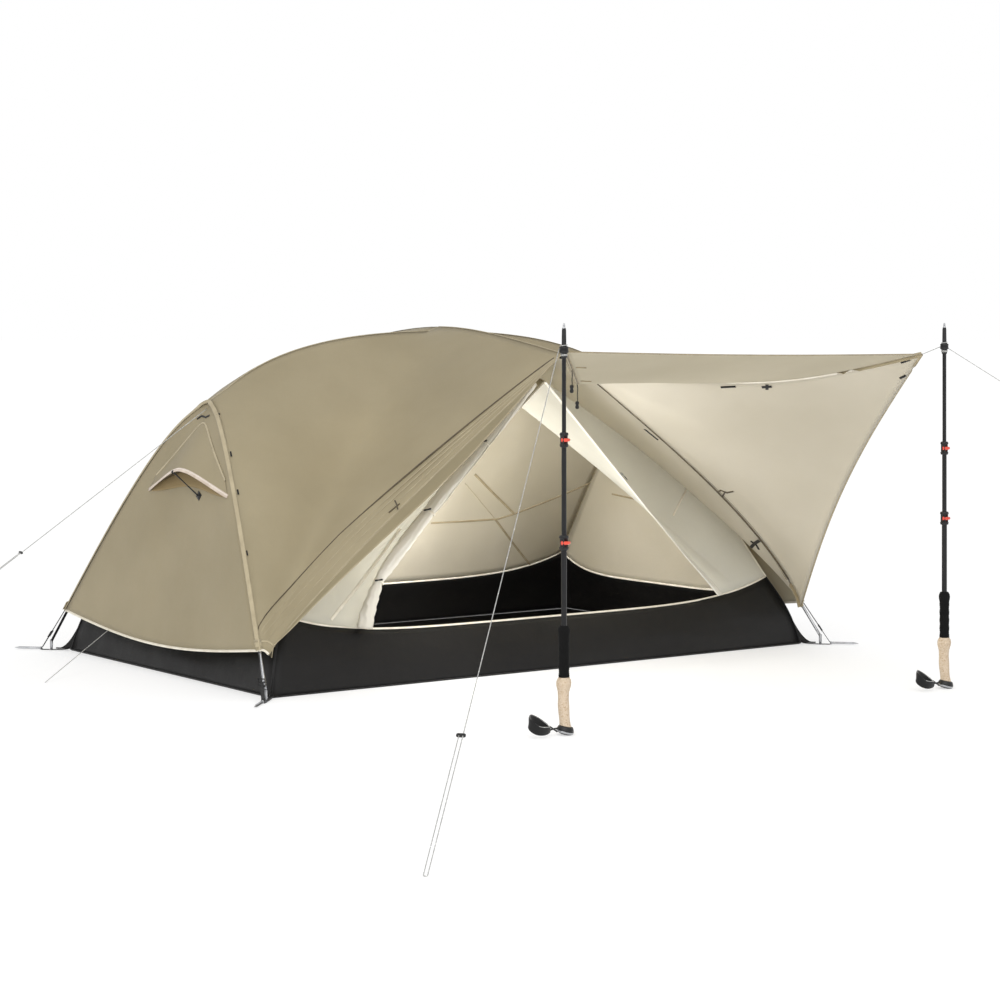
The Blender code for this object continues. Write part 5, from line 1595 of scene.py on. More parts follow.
def make_fly_top():
    """The tapes along the fly's ridge and brow, and the back's closed zip under its flap."""
    ridge = fly_ridge(-1) + list(reversed(fly_ridge(1)))[1:]
    outs = outs_between(ridge, PANELS["fly_front_left"], PANELS["fly_back_left"])
    seam("ridge_seam", ridge, [(o + UP).normalized() for o in outs])
    seam("brow_seam", fly_brow(-1), UP)
    back = back_edge()
    outs = outs_between(back, PANELS["fly_back_left"], PANELS["fly_back_right"])
    seam("back_zip_flap", back, outs, grow=lambda t: min(1.0, 0.12 + (1.0 - t) * 4.0))
    low = back[:LEG_CELLS - BACK_BROW_CELLS]
    seam("back_zip", low, outs[:len(low)], lift=BACK_ZIP_LIFT)


def flap_strip(grid):
    """The strip of cloth past the fly's open edge, widest at the middle and gone at the peak."""
    strip = []
    for j, row in enumerate(grid):
        t = j / (len(grid) - 1)
        along_row = (row[-1] - row[-2]).normalized()
        reach = (FLAP_FOOT + FLAP_SWELL * math.sin(math.pi * t ** 1.35)) * (1.0 - t ** 5)
        strip.append([row[-1] + along_row * (reach * k / 5 - FLAP_LAP) for k in range(6)])
    return strip


def make_storm_flap():
    """The open side of the fly's front door: bound edge, folded flap and its zip."""
    grid = pulled_tight(fly_side_grid(-1, -1), FLY_ROUNDS)
    edge = [row[-1] for row in grid]
    binding("fly_door_edge", edge, "fly_front_left")
    strip = flap_strip(grid)
    # The flap's outside takes the darker copy of the fly cloth, painted shade.
    panel("fly_door_flap", strip, ["flap", "fly_in"], FLY_SHEET / 2,
          node="fly_front_left", run=length_of(edge))
    binding("fly_door_flap_edge", [row[-1] for row in strip], "fly_door_flap")
    width = [(row[-1] - row[0]).length for row in grid]
    # The fold lines are light tapes at set distances from the edge, painted fold highlights on the flat
    # strip; the last one is the dark zip tape, partly painted shadow.
    for name, away in FLAP_FOLDS.items():
        path, outs = [], []
        for j in range(len(grid) - 1):
            t = j / (len(grid) - 1)
            taper = min(1.0, 1.25 * (1.0 - t) ** 0.6)
            place, out = on_grid(grid, 1.0 - away * taper / width[j], t)
            path.append(place)
            outs.append(out)
        seam(name, path, outs, grow=lambda t: 0.35 + 0.65 * min(1.0, 2.0 * t))


def make_awning():
    slot = "fly_coated_side"
    creases = pulled(0.003, AWNING_LEFT - Vector((0.0, -0.7, 1.0)), 21.0, reach=0.2)
    # The awning's roof takes the lighter copies of the fly cloth, painted light.
    panel("awning_roof", awning_roof_grid(), ["awning", "awning_in_lit"], FLY_SHEET / 2,
          creases)
    creases = pulled(0.004, AWNING_RIGHT - front_edge(1)[0], 25.0, reach=0.2)
    # The awning wall's inside takes the lighter copy, painted light.
    panel("awning_wall", awning_wall_grid(), ["awning", "wall_in_lit"], -FLY_SHEET / 2,
          creases)
    binding("awning_front_hem", awning_front(), "awning_roof")
    binding("awning_zip_tape", awning_zip(), "awning_roof")
    binding("awning_zip_teeth", awning_zip(), "awning_roof")
    binding("awning_side_hem", awning_side(), "awning_wall")
    path = awning_seam()
    outs = outs_between(path, PANELS["awning_roof"], PANELS["awning_wall"])
    seam("awning_seam_tape", path, [-o for o in outs], lift=INSIDE_LIFT, slot=slot)
    seam("awning_seam_top", path, outs)
    joint = front_edge(1)
    outs = panel_outs(joint, "fly_front_right")
    seam("right_door_tape", joint, outs)
    seam("right_door_zip", joint, [-o for o in outs], lift=INSIDE_LIFT)


def hood_column(share):
    """The share across the left end panel at a share across the hood."""
    return HOOD_SPAN[0] + (HOOD_SPAN[1] - HOOD_SPAN[0]) * share


def strut_ends(end):
    """The vent strut's two ends: just under the hood's lip, and on the end panel."""
    stand = STRUT_RADIUS + CLEAR
    base, out = on_grid(end, *STRUT_FOOT)
    foot = base + out * (FLY_SHEET + stand)
    head_u = hood_column(STRUT_HEAD)
    lip = hood_point(end, head_u, 0.0)[0] + out * (FLY_SHEET / 2)
    up_hood = (hood_point(end, head_u, 0.2)[0] - lip).normalized()
    lean = (foot - lip).normalized().dot(up_hood)
    return lip - up_hood * (CLEAR * 2 + STRUT_RADIUS * math.sqrt(1.0 - lean * lean)), foot


def vent_shadow_net_grid(end):
    """The net across the vent's mouth and the end panel just below it; its brown is painted shadow under the
    hood.
    """
    net = []
    first, last = VENT_NET_SPAN
    for j in range(VENT_NET_ROWS + 1):
        row = []
        for i in range(SHORT_CELLS + 1):
            across = i / SHORT_CELLS
            arch = math.sin(math.pi * across)
            mouth = HOOD_SKY[0] + HOOD_LOW_SIDE * (arch - 1.0)
            drop = VENT_NET_DEPTH * arch ** 0.7
            v = mouth + VENT_NET_LAP - (drop + VENT_NET_LAP) * (1.0 - j / VENT_NET_ROWS)
            point, out = on_grid(end, hood_column(first + (last - first) * across), v)
            row.append(point + out * (FLY_SHEET + CLEAR))
        net.append(row)
    return net


def make_vent():
    end = fly_end_grid(-1)
    rows = 5 * FINE
    columns = [hood_column(i / SHORT_CELLS) for i in range(SHORT_CELLS + 1)]
    grid = [[hood_point(end, u, j / rows)[0] for u in columns] for j in range(rows + 1)]
    creases = pulled(0.002, Vector((0.0, 0.2, 1.0)), 31.0)
    panel("vent_hood", grid, ["fly", "fly_in"], FLY_SHEET / 2,
          creases)
    binding("vent_lip", grid[0], "vent_hood")
    seam("vent_top_seam", grid[-1], panel_outs(grid[-1], "vent_hood"))
    # The net patch below the hood's lip is brown, painted shadow.
    panel("vent_shadow_net", vent_shadow_net_grid(end), ["vent_shadow_net"], VENT_NET_STAND,
          node="fly_left_end")
    head, foot = strut_ends(end)
    run = foot - head
    along_run = run.normalized()
    path = [head + run * (i / 10) for i in range(11)]
    strut = sweep("vent_strut_rod", path, Vector((-1.0, 0.0, 0.3)), oval(STRUT_ROD, STRUT_ROD), "plastic",
                  "vent_strut", node="vent_strut",
                  grow=lambda t: 0.85 + 0.15 * math.cos(2 * math.pi * t))
    knob_place = head - along_run * STRUT_KNOB_BACK
    knob = lathe("vent_strut_knob", STRUT_KNOB, knob_place, "plastic", "vent_strut", 24, axis=along_run)
    joined("vent_strut_rod", [strut, knob])
    place, square, _, _ = PANELS["fly_left_end"].find_nearest(foot)
    square = square if square.x < 0 else -square
    boxed("vent_patch", VENT_PATCH, place + square * VENT_PATCH_LIFT,
          frames_of(run, square), "webbing", ease=0.0004)


def frames_of(run, out):
    """Three square unit axes: along, across and out."""
    x = (run - out * run.dot(out)).normalized()
    return (x, out.cross(x).normalized(), out.normalized())


def make_floor():
    """The tub's floor, a little rumpled."""
    cells_x, cells_y = FLOOR_CELLS
    grid = []
    columns = [FLOOR_LENGTH * (i / cells_x - 0.5) for i in range(cells_x + 1)]
    for j in range(cells_y + 1):
        y = FLOOR_WIDTH * (j / cells_y - 0.5)
        grid.append([Vector((x, y, FLOOR_SHEET * 0.35)) for x in columns])

    def rumpled(s, t, point):
        fine = noise.noise(Vector((point.x * 7.0, point.y * 5.0, 1.0)))
        broad = noise.noise(Vector((point.x * 2.0, point.y * 2.6, 5.0)))
        return FLOOR_RUMPLE * (fine + broad) * held_in(s, t, 0.05)

    panel("tub_floor", grid, ["floor"], 0.0, rumpled, thick=0.0006)


def wall_side(point):
    """The way out of the side that a point of the tub's wall belongs to."""
    if abs(point.x) / FLOOR_LENGTH > abs(point.y) / FLOOR_WIDTH:
        return Vector((math.copysign(1, point.x), 0.0, 0.0))
    return Vector((0.0, math.copysign(1, point.y), 0.0))


def wall_point(point, share, reach):
    """A point of the tub's wall with its rumples; reach is its cells from the nearest corner."""
    out = wall_side(point)
    along_wall = point.x if out.y else point.y
    broad, fine = WALL_RUMPLES
    rumple = broad * noise.noise(Vector((along_wall * 3.2, point.z * 26.0, 7.0 + out.x + 3 * out.y)))
    rumple += fine * noise.noise(Vector((along_wall * 9.0 + point.z * 14.0, point.z * 30.0, 2.0)))
    crease = 0.0
    if 0.0 < reach < CREASE_REACH:
        slope = reach / CREASE_REACH - share * 0.8
        crease = CREASE_DEPTH * math.exp(-((slope / CREASE_WIDTH) ** 2)) * share
    hold = math.sin(math.pi * min(share, 0.999)) if share < 1.0 else 0.0
    hold *= min(1.0, reach / 0.8)
    return point + out * (rumple * hold * 1.3 + crease * min(1.0, reach))


def make_tub_wall(shares):
    rows = [tub_loop(share) for share in shares]
    for row in rows:
        row.append(row[0].copy())
    count = len(rows[0])
    corners = (*CORNER_CELLS.values(), count - 1)
    points, faces, uvs = [], [], []
    for share, row in zip(shares, rows):
        for i, point in enumerate(row):
            points.append(wall_point(point, share, min(abs(i - c) for c in corners) / FINE))
    cell, step = WALL_CELL
    for j in range(len(rows) - 1):
        for i in range(count - 1):
            faces.append(quad(j, i, i + 1, count))
            u, v = i * FLOOR_LENGTH / LONG_CELLS, j * step
            uvs += [(u, v), (u + cell, v), (u + cell, v + step), (u, v + step)]
    mesh = mesh_of("tub_wall", points, faces, uvs)
    wall = link("tub_wall", mesh, ["tub"], node="tub_wall")
    thicken(wall, CLOTH)


def make_tub():
    make_floor()
    shares = [i / 10 for i in range(11)]
    make_tub_wall(shares)
    for side in ("front", "right", "back", "left"):
        binding(f"tub_tape_{side}", tub_top(side), UP, "tub_tape")
    loops = [tub_loop(share) for share in shares]
    for word, (x_side, y_side) in CORNERS.items():
        corner = Vector((x_side * FLOOR_LENGTH / 2, y_side * FLOOR_WIDTH / 2, 0.0)).normalized()
        path = [loop[CORNER_CELLS[word]] for loop in loops]
        depth, side = word.split("_")
        name = f"tub_corner_{side[0]}{depth[0]}"
        sweep(name, path, corner, oval(0.004, 0.0022), "webbing")
        make_tongue(word, path)
    base = [Vector((p.x, p.y, 0.0034)) for p in tub_loop(0.0)]
    base.append(base[0])
    sweep("tub_base_seam", base, UP, oval(0.0045, 0.0016), "webbing")


def make_tongue(word, corner_path):
    """The black gusset that runs from a tub corner to the strap at the pole's foot."""
    start, top = corner_path[0], corner_path[TONGUE_TOP]
    run = foot_point(*CORNERS[word]) - start
    run.z = 0.0
    end = start + run.normalized() * (run.length - TONGUE_SHORT)
    grid = []
    for j in range(9):
        row = []
        for i in range(17):
            s = i / 16
            low = start.lerp(end, s)
            low.z = TONGUE_LOW
            high = top.lerp(end, s) - UP * (TONGUE_DIP * math.sin(math.pi * s))
            high.z = max(high.z, low.z + 0.004)
            row.append(low.lerp(high, j / 8))
        grid.append(row)
    creases = pulled(0.002, run, 51.0 + CORNERS[word][0])
    panel(f"tub_tongue_{word}", grid, ["tub"], 0.0, creases,
          node=f"corner_webbing_{word}")


def make_inner():
    half = INNER_SHEET / 2
    creases = pulled(0.011, UP, 41.0, 1.6, 5.5, 0.2)
    panel("inner_back", inner_back_grid(), ["inner"], half,
          creases)
    for x_side, word in ((-1, "left"), (1, "right")):
        creases = pulled(0.007, UP, 43.0 + x_side, 1.6, 6.0, 0.2)
        panel(f"inner_{word}_end", inner_end_grid(x_side), ["inner"], half,
              creases)
        creases = pulled(0.005, Vector((x_side * -0.6, 0.0, 0.8)), 47.0 + x_side)
        made = panel(f"inner_front_{word}", inner_front_grid(x_side), ["mesh"], half,
                     creases)
        # The top rows of the front left panel take the darker copy of the inner nylon, painted shade.
        made.data.materials.append(LOOKS["inner_shaded"])
        for face in made.data.polygons:
            row = face.index // (RIDGE_CELLS + BROW_CELLS)
            if x_side < 0 and row >= MESH_ROWS:
                face.material_index = 1
    make_inner_tapes()


def make_inner_tapes():
    """The inner tent's zip, and the tapes along its edges."""
    slot = "inner_nylon"
    edge = inner_door_edge(1)
    outs = panel_outs(edge, "inner_front_right")
    seam("inner_zip_tape", edge, outs, lift=0.0016, slot=slot)
    seam("inner_zip_tape_inside", edge, [-o for o in outs], "inner_zip_tape", 0.0002, slot)
    edge = inner_door_edge(-1)
    outs = panel_outs(edge, "inner_front_left")
    seam("inner_edge_tape", edge, outs, lift=0.0014, slot=slot)
    for word, (x_side, y_side) in CORNERS.items():
        out = Vector((x_side, y_side, 0.4)).normalized()
        kind = f"inner_corner_{word.split('_')[0]}"
        binding(f"inner_corner_{word}", inner_leg(x_side, y_side), out, kind)
    ridge = inner_ridge(-1) + list(reversed(inner_ridge(1)))[1:]
    binding("inner_ridge_tape", ridge, UP)
    binding("inner_brow_tape", inner_brow(), UP)


def make_stage():
    """A white floor out to the horizon, with some light of its own so that shadows on it stay pale."""
    mesh = bpy.data.meshes.new("studio_floor")
    corners = [(x * STAGE_HALF, y * STAGE_HALF, 0) for x, y in ((-1, -1), (1, -1), (1, 1), (-1, 1))]
    mesh.from_pydata(corners, [], [(0, 1, 2, 3)])
    look = Look("studio_floor")
    look.set(Base_Color=srgb("FFFFFF"), Roughness=0.95, Specular_IOR_Level=0.0)
    own = look.nodes.new("ShaderNodeEmission")
    own.inputs["Strength"].default_value = STAGE_GLOW
    mixer = look.nodes.new("ShaderNodeMixShader")
    mixer.inputs["Fac"].default_value = STAGE_GLOW_SHARE
    look.links.new(look.shader.outputs["BSDF"], mixer.inputs[1])
    look.links.new(own.outputs["Emission"], mixer.inputs[2])
    look.links.new(mixer.outputs["Shader"], look.output.inputs["Surface"])
    mesh.materials.append(look.material)
    floor = bpy.data.objects.new("studio_floor", mesh)
    bpy.context.scene.collection.objects.link(floor)


def make_world():
    """A white world that lights a little less than it shows."""
    world = bpy.data.worlds.new("studio")
    bpy.context.scene.world = world
    world.use_nodes = True
    nodes, links = world.node_tree.nodes, world.node_tree.links
    nodes.clear()
    out = nodes.new("ShaderNodeOutputWorld")
    path = nodes.new("ShaderNodeLightPath")
    mixer = nodes.new("ShaderNodeMixShader")
    links.new(path.outputs["Is Camera Ray"], mixer.inputs["Fac"])
    for place, strength in ((1, WORLD_LIGHT), (2, WORLD_SEEN)):
        light = nodes.new("ShaderNodeBackground")
        light.inputs["Color"].default_value = (1.0, 1.0, 1.0, 1.0)
        light.inputs["Strength"].default_value = strength
        links.new(light.outputs["Background"], mixer.inputs[place])
    links.new(mixer.outputs["Shader"], out.inputs["Surface"])


def lamp_of(name, kind, watts):
    """A lamp and its light."""
    light = bpy.data.lights.new(name, kind)
    light.energy = watts
    lamp = bpy.data.objects.new(name, light)
    bpy.context.scene.collection.objects.link(lamp)
    return lamp, light


def hide_lamp(lamp, place):
    """Sets a lamp where no camera and no gloss sees it."""
    lamp.location = place
    lamp.visible_camera = False
    lamp.visible_glossy = False


def make_light():
    make_world()
    sun, light = lamp_of("soft_key", "SUN", SUN_STRENGTH)
    light.angle = SUN_SPREAD
    sun.rotation_euler = SUN_FROM.to_track_quat("Z", "Y").to_euler()
    lamp, light = lamp_of("awning_lamp", "AREA", AWNING_LAMP_WATTS)
    light.shape = "RECTANGLE"
    light.size, light.size_y = AWNING_LAMP_SIZE
    hide_lamp(lamp, AWNING_LAMP)
    lamp.rotation_euler = (AWNING_LAMP - AWNING_LAMP_AIM).to_track_quat("Z", "Y").to_euler()
    for number, (place, watts) in enumerate(ROOM_LAMPS):
        lamp, light = lamp_of(f"room_lamp_{number}", "POINT", watts)
        light.shadow_soft_size = ROOM_LAMP_RADIUS
        hide_lamp(lamp, place)
    bpy.context.scene.view_settings.view_transform = "Standard"


def roll_centre(grid, t):
    """The middle of the rolled door at a share of its length, and the way out."""
    place, out = on_grid(grid, ROLL_COLUMN, ROLL_LOW + (1.0 - ROLL_LOW - ROLL_END_GAP) * t)
    return place + out * (INNER_SHEET + ROLL_STAND + ROLL_RADIUS + ROLL_FOLD), out


def roll_ring(grid, t):
    """The roll's middle, side and out at a share of its length, its full radius and its swell."""
    centre, out = roll_centre(grid, t)
    run = roll_centre(grid, min(t + 0.03, 1.0))[0] - roll_centre(grid, max(t - 0.03, 0.0))[0]
    side = run.normalized().cross(out).normalized()
    out = side.cross(run).normalized()
    full = ROLL_RADIUS * (ROLL_FOOT_SIZE - ROLL_TAPER * t)
    past = min(1.0, max(0.0, (t - ROLL_SWELL_FROM) / (1.0 - ROLL_SWELL_FROM)))
    swell = math.sin(math.pi * past ** 0.85) ** 0.8
    centre += side * (ROLL_ASIDE * swell) - out * (ROLL_FLATTER * full * swell)
    pinch, reach = ROLL_TIE_PINCH
    for tie in ROLL_TIES:
        full *= 1.0 - pinch * math.exp(-(((t - tie) / reach) ** 2))
    flare, reach = ROLL_FLARE
    full *= 1.0 + flare * math.exp(-((t / reach) ** 2))
    return centre, side, out, full, swell


def roll_radius(full, share, angle, t):
    """The spiral's radius at a share of its turns, with the folds of loose cloth."""
    way = Vector((math.cos(angle), math.sin(angle), 0.0))
    radius = full * (ROLL_CORE + (1.0 - ROLL_CORE) * share)
    radius *= 1.0 + 0.13 * noise.noise(way * 2.0 + UP * (t * 9.0)) * share
    radius += full * 0.06 * math.sin(3 * angle + 11.0 * t) * share
    return radius * (1.0 + 0.16 * share * noise.noise(way * 3.0 + UP * (t * 24.0)))


def make_door_roll():
    """The inner door rolled up beside its opening: a spiral of cloth that ties draw in."""
    grid = inner_front_grid(-1)
    points, faces, uvs, path, outs, radii = [], [], [], [], [], []
    for j in range(ROLL_RINGS + 1):
        t = j / ROLL_RINGS
        centre, side, out, full, swell = roll_ring(grid, t)
        broad, deep = 1.0 + ROLL_WIDER * swell, 1.0 - ROLL_FLATTER * swell
        path.append(centre)
        outs.append(out)
        radii.append((full * broad, full * deep))
        for k in range(ROLL_STEPS + 1):
            share = k / ROLL_STEPS
            angle = 2 * math.pi * (ROLL_TURNS * share + ROLL_TWIST * t)
            radius = roll_radius(full, share, angle, t)
            across, up = radius * broad * math.cos(angle), radius * deep * math.sin(angle)
            points.append(centre + side * across + out * up)
    cell, step = ROLL_CELL
    for j in range(ROLL_RINGS):
        for k in range(ROLL_STEPS):
            faces.append(quad(j, k, k + 1, ROLL_STEPS + 1))
            u, v = k * cell, j * step
            uvs += [(u, v), (u + cell, v), (u + cell, v + step), (u, v + step)]
    mesh = mesh_of("door_roll", points, faces, uvs)
    roll = link("door_roll", mesh, ["roll"], node="door_roll")
    thicken(roll, ROLL_SHEET)
    for number, tie in enumerate(ROLL_TIES):
        make_roll_tie(number + 1, round(tie * ROLL_RINGS), path, outs, radii)


def make_roll_tie(number, i, path, outs, radii):
    """A ribbon round the roll at one of its rings, with a toggle on top."""
    run = (path[i + 1] - path[i - 1]).normalized()
    side = run.cross(outs[i]).normalized()
    broad, deep = (r * 1.03 + 0.0012 for r in radii[i])
    ring = loop_round(path[i], side * broad, outs[i] * deep, 32)
    ribbon = oval(*ROLL_RIBBON, 8)
    loop = sweep(f"roll_tie_{number}", ring, run, ribbon, "cream", ends=False)
    bar = path[i] + outs[i] * deep + outs[i] * 0.003
    lean = (side * 0.8 + run * 0.6).normalized()
    toggle = lathe(f"roll_toggle_{number}", ROLL_TOGGLE, bar, "plastic", steps=18, axis=lean)
    joined(f"roll_tie_{number}", [loop, toggle])


def make_zip_slider():
    low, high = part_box("door_zip_slider")
    middle = (low + high) / 2
    edge = inner_door_edge(1)
    near = min(range(1, len(edge) - 1), key=lambda i: (edge[i] - middle).length)
    run = (edge[near + 1] - edge[near - 1]).normalized()
    out = panel_outs([middle], "inner_front_right")[0]
    axes = frames_of(run, out)
    pieces = [boxed("zip_slider", (0.012, 0.008, 0.004), middle, axes, "silver", "zip_slider", 0.0012,
                    node="door_zip_slider")]
    for name, size, up, back, look, ease in SLIDER_PARTS:
        place = middle + axes[2] * up - axes[0] * back
        pieces.append(boxed(name, size, place, axes, look, "zip_slider", ease))
    joined("zip_slider", pieces)


def make_hub(word, x_side):
    """The plastic hub at one end of the ridge, with a socket for each of its three poles."""
    centre = hub_point(x_side)
    pieces = [boxed(f"hub_core_{word}", HUB_CORE, centre, AXES, "plastic", ease=0.004,
                    node=f"hub_{word}")]
    ways = [(ridge_curve(x_side)(HUB_RIDGE_SHARE) - centre).normalized()]
    ways += [(leg_curve(x_side, y)(HUB_LEG_SHARE) - centre).normalized() for y in (-1, 1)]
    for number, way in enumerate(ways):
        name = f"hub_socket_{word}_{number}"
        pieces.append(lathe(name, HUB_SOCKET, centre, "plastic", steps=24, axis=way))
    joined(f"hub_socket_{word}", pieces)


def make_frame():
    for node in ("ridge_pole", "brow_pole", *(f"leg_pole_{word}" for word in CORNERS)):
        dress(node, "pole")
    for x_side, word in ((-1, "left"), (1, "right")):
        make_hub(word, x_side)
    for word, (x_side, y_side) in CORNERS.items():
        curve = leg_curve(x_side, y_side)
        rings = []
        for number, t in enumerate(FERRULE_SHARES):
            run = (curve(t + 0.01) - curve(t - 0.01)).normalized()
            name = f"ferrule_{word}_{number}"
            rings.append(lathe(name, FERRULE, curve(t), "silver", steps=28, axis=run))
        foot = foot_point(x_side, y_side)
        rings.append(lathe(f"pole_tip_{word}", POLE_TIP, foot, "silver", steps=28))
        if word != "back_left":
            first, last = SLEEVE_SHARES
            low = [curve(first + (last - first) * i / 12) for i in range(13)]
            tube = oval(SLEEVE_RADIUS, SLEEVE_RADIUS, 20)
            rings.append(sweep(f"pole_sleeve_{word}", low, Vector((0.0, y_side, 0.1)), tube, "silver"))
        joined(f"pole_fittings_{word}", rings)


def dress(node, look):
    """Gives a CAD node that stays in view its look."""
    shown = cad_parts[node]
    shown.data.materials.clear()
    shown.data.materials.append(LOOKS[look])


def make_buckle(word, place, run, side):
    """A ladder buckle: three bars between two sides."""
    axes = (run, side, run.cross(side))
    parts = []
    for number, (shift, size) in enumerate(BUCKLE_BARS):
        name = f"buckle_bar_{word}_{number}"
        parts.append(boxed(name, size, place + run * shift, axes, "plastic", ease=0.0012))
    for number, shift in enumerate(BUCKLE_SIDE_SHIFTS):
        name = f"buckle_side_{word}_{number}"
        parts.append(boxed(name, BUCKLE_SIDE, place + side * shift, axes, "plastic", ease=0.0012))
    return parts


def make_corner_webbing(word, tub_corner, foot, fold, out, side):
    """The strap from a tub corner past the pole's foot, and its way up to the fly's corner."""
    starts = {"tub": tub_corner, "foot": foot}
    low = [starts[near] + out * away + UP * rise for near, away, rise in WEBBING_PATH] + [fold]
    name = f"corner_webbing_{word}"
    parts = [sweep(name, smooth_path(low, 6), UP, slab(WEBBING_HALF, WEBBING_THICK), "webbing", node=name,
                   smooth=False)]
    back = fold + UP * 0.012 - out * 0.004
    top = fly_leg(*CORNERS[word])[0] + out * 0.001 - UP * 0.002
    buckle = back.lerp(top, BUCKLE_SHARE)
    loop = smooth_path([fold + UP * 0.0005, fold + UP * 0.006 + out * 0.002, back, buckle], 5)
    loop_band = slab(WEBBING_LOOP_HALF, WEBBING_THICK)
    parts.append(sweep(f"corner_loop_{word}", loop, side.cross(top - back), loop_band, "webbing",
                       smooth=False))
    rise = [buckle.lerp(top, i / 8) for i in range(9)]
    cord = oval(CORNER_CORD_RADIUS, CORNER_CORD_RADIUS, 10)
    parts.append(sweep(f"corner_cord_{word}", rise, side, cord, "black_cord"))
    parts += make_buckle(word, buckle, (top - back).normalized(), side)
    ring = loop_round(foot + UP * GROMMET_RISE, AXES[0] * GROMMET_RADIUS, AXES[1] * GROMMET_RADIUS, 24)
    parts.append(sweep(f"grommet_{word}", ring, UP, oval(0.0018, 0.0007, 10), "silver", ends=False))
    joined(name, parts)


def make_corners():
    for word, (x_side, y_side) in CORNERS.items():
        foot = foot_point(x_side, y_side)
        tub_corner = Vector((x_side * FLOOR_LENGTH / 2, y_side * FLOOR_WIDTH / 2, 0.0))
        out = (foot - tub_corner).normalized()
        fold = foot + out * WEBBING_FOLD + UP * WEBBING_RISE
        make_corner_webbing(word, tub_corner, foot, fold, out, out.cross(UP))
        leg = fly_leg(x_side, y_side)
        square = panel_outs(leg[:1], f"fly_{word}")[0]
        into = (leg[3] - leg[0]).normalized()
        place = leg[0] + into * CORNER_PATCH_IN + square * CORNER_PATCH_LIFT
        boxed(f"corner_patch_{word}", CORNER_PATCH, place, frames_of(into, square), "seam", ease=0.0006)
        make_stake(word, fold, out)


def smooth_path(points, cells):
    """A rounded path through the points."""
    cut = []
    for i in range(len(points) - 1):
        before = points[max(i - 1, 0)]
        after = points[min(i + 2, len(points) - 1)]
        a, b = points[i], points[i + 1]
        bend = bezier(a, a + (b - before) / 6, b - (after - a) / 6, b)
        cut += [bend(k / cells) for k in range(cells)]
    return cut + [points[-1]]


def stake_taper(t):
    """A stake's blade keeps its size and then comes to a point."""
    return 1.0 if t < STAKE_POINT else 1.0 - 0.8 * (t - STAKE_POINT) / (1.0 - STAKE_POINT)


def make_stake(word, fold, out):
    """A three-winged alloy stake pushed through the webbing's fold, with its cap."""
    name = f"stake_blade_{word}"
    body = f"stake_{word}"
    head = fold + out * STAKE_HEAD_OUT
    head.z = STAKE_HEAD_RISE
    wings = []
    for k in range(3):
        a = math.pi / 2 + 2 * math.pi * k / 3
        for turn, reach in STAKE_WING:
            wings.append((reach * math.cos(a + turn), reach * math.sin(a + turn)))
    path = [head + out * (STAKE_LENGTH * i / 16) for i in range(17)]
    blade = sweep(name, path, UP, wings, "silver", body, node=body, smooth=False,
                  grow=stake_taper)
    cap = lathe(f"stake_cap_{word}", STAKE_CAP, head - out * 0.0005, "silver", body, 28, axis=out)
    joined(name, [blade, cap])


def make_tensioners():
    for node in ("line_tensioner_front", "line_tensioner_left"):
        dress(node, "plastic")


def raised(profile, height):
    """The same turned profile, higher up."""
    return [(radius, height + rise) for radius, rise in profile]


def make_pole_top(name, place, tip):
    """The basket collar near a pole's tip with the cord wrapped round it, and the tip's ferrule."""
    basket = tip - BASKET_DROP
    collar = raised(COLLAR, basket) + raised(COLLAR_TOP, tip)
    parts = [lathe(f"{name}_collar", collar, place, "plastic", steps=36),
             lathe(f"{name}_ferrule", raised(TIP_CONE, tip), place, "silver", steps=36)]
    cord = oval(WRAP_CORD, WRAP_CORD, 8)
    for wrap, rise in enumerate(WRAP_RISES):
        ring = []
        for k in range(25):
            a = 2 * math.pi * k / 24
            height = basket + rise + WRAP_TILT * math.sin(a + wrap)
            ring.append(place + Vector((math.cos(a) * WRAP_RADIUS, math.sin(a) * WRAP_RADIUS, height)))
        parts.append(sweep(f"{name}_wrap_{wrap}", ring, UP, cord, "cord", ends=False))
    joined(f"{name}_collar", parts)


def make_lock(number, word, height, body):
    """A lock: its clamp with two ears on one section, and its lever, which rides its own body."""
    place = POLE_PLACES[number - 1]
    name = f"trekking_pole_{number}_{word}"
    lever_body = f"pole_{number}_{word}_lever"
    tube = LOCK_TUBES[word]
    wall = tube + LOCK_WALL
    ring = [(tube, -LOCK_HALF), *((wall + over, rise) for over, rise in CLAMP), (tube, LOCK_HALF)]
    parts = [lathe(f"{name}_clamp", raised(ring, height), place, "plastic", body, 40)]
    for letter, shift in LOCK_EAR_SHIFTS.items():
        spot = place + Vector((-wall * 0.82, -wall * 0.88, height + shift))
        parts.append(boxed(f"{name}_ear_{letter}", LOCK_EAR, spot, AXES, "plastic", body, 0.0012))
    joined(f"{name}_clamp", parts)
    low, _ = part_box(f"{name}_lever")
    centre = place + UP * height
    first, turn = LEVER_ANGLES
    arc = []
    for k in range(13):
        angle = math.radians(first + turn * k / 12)
        arc.append(centre + Vector((math.cos(angle), math.sin(angle), 0.0)) * (wall + LEVER_OUT))
    lever = sweep(f"{name}_lever_arm", arc, UP, slab(LEVER_HALF, LEVER_THICK), "red", lever_body,
                  node=f"{name}_lever", grow=lambda t: 1.0 - 0.25 * t)
    hinge = Vector((low.x + 0.0016, low.y + 0.0018, height))
    pin = lathe(f"{name}_pin", LEVER_PIN, hinge, "plastic", lever_body, 20)
    joined(f"{name}_lever_arm", [lever, pin])


def cork_sway(height):
    """How far the cork leans aside at a height."""
    low = (CORK_TOP - height) / CORK_LENGTH
    return ASIDE * (CORK_LEAN * low ** 3 - CORK_BOW * math.sin(math.pi * low))


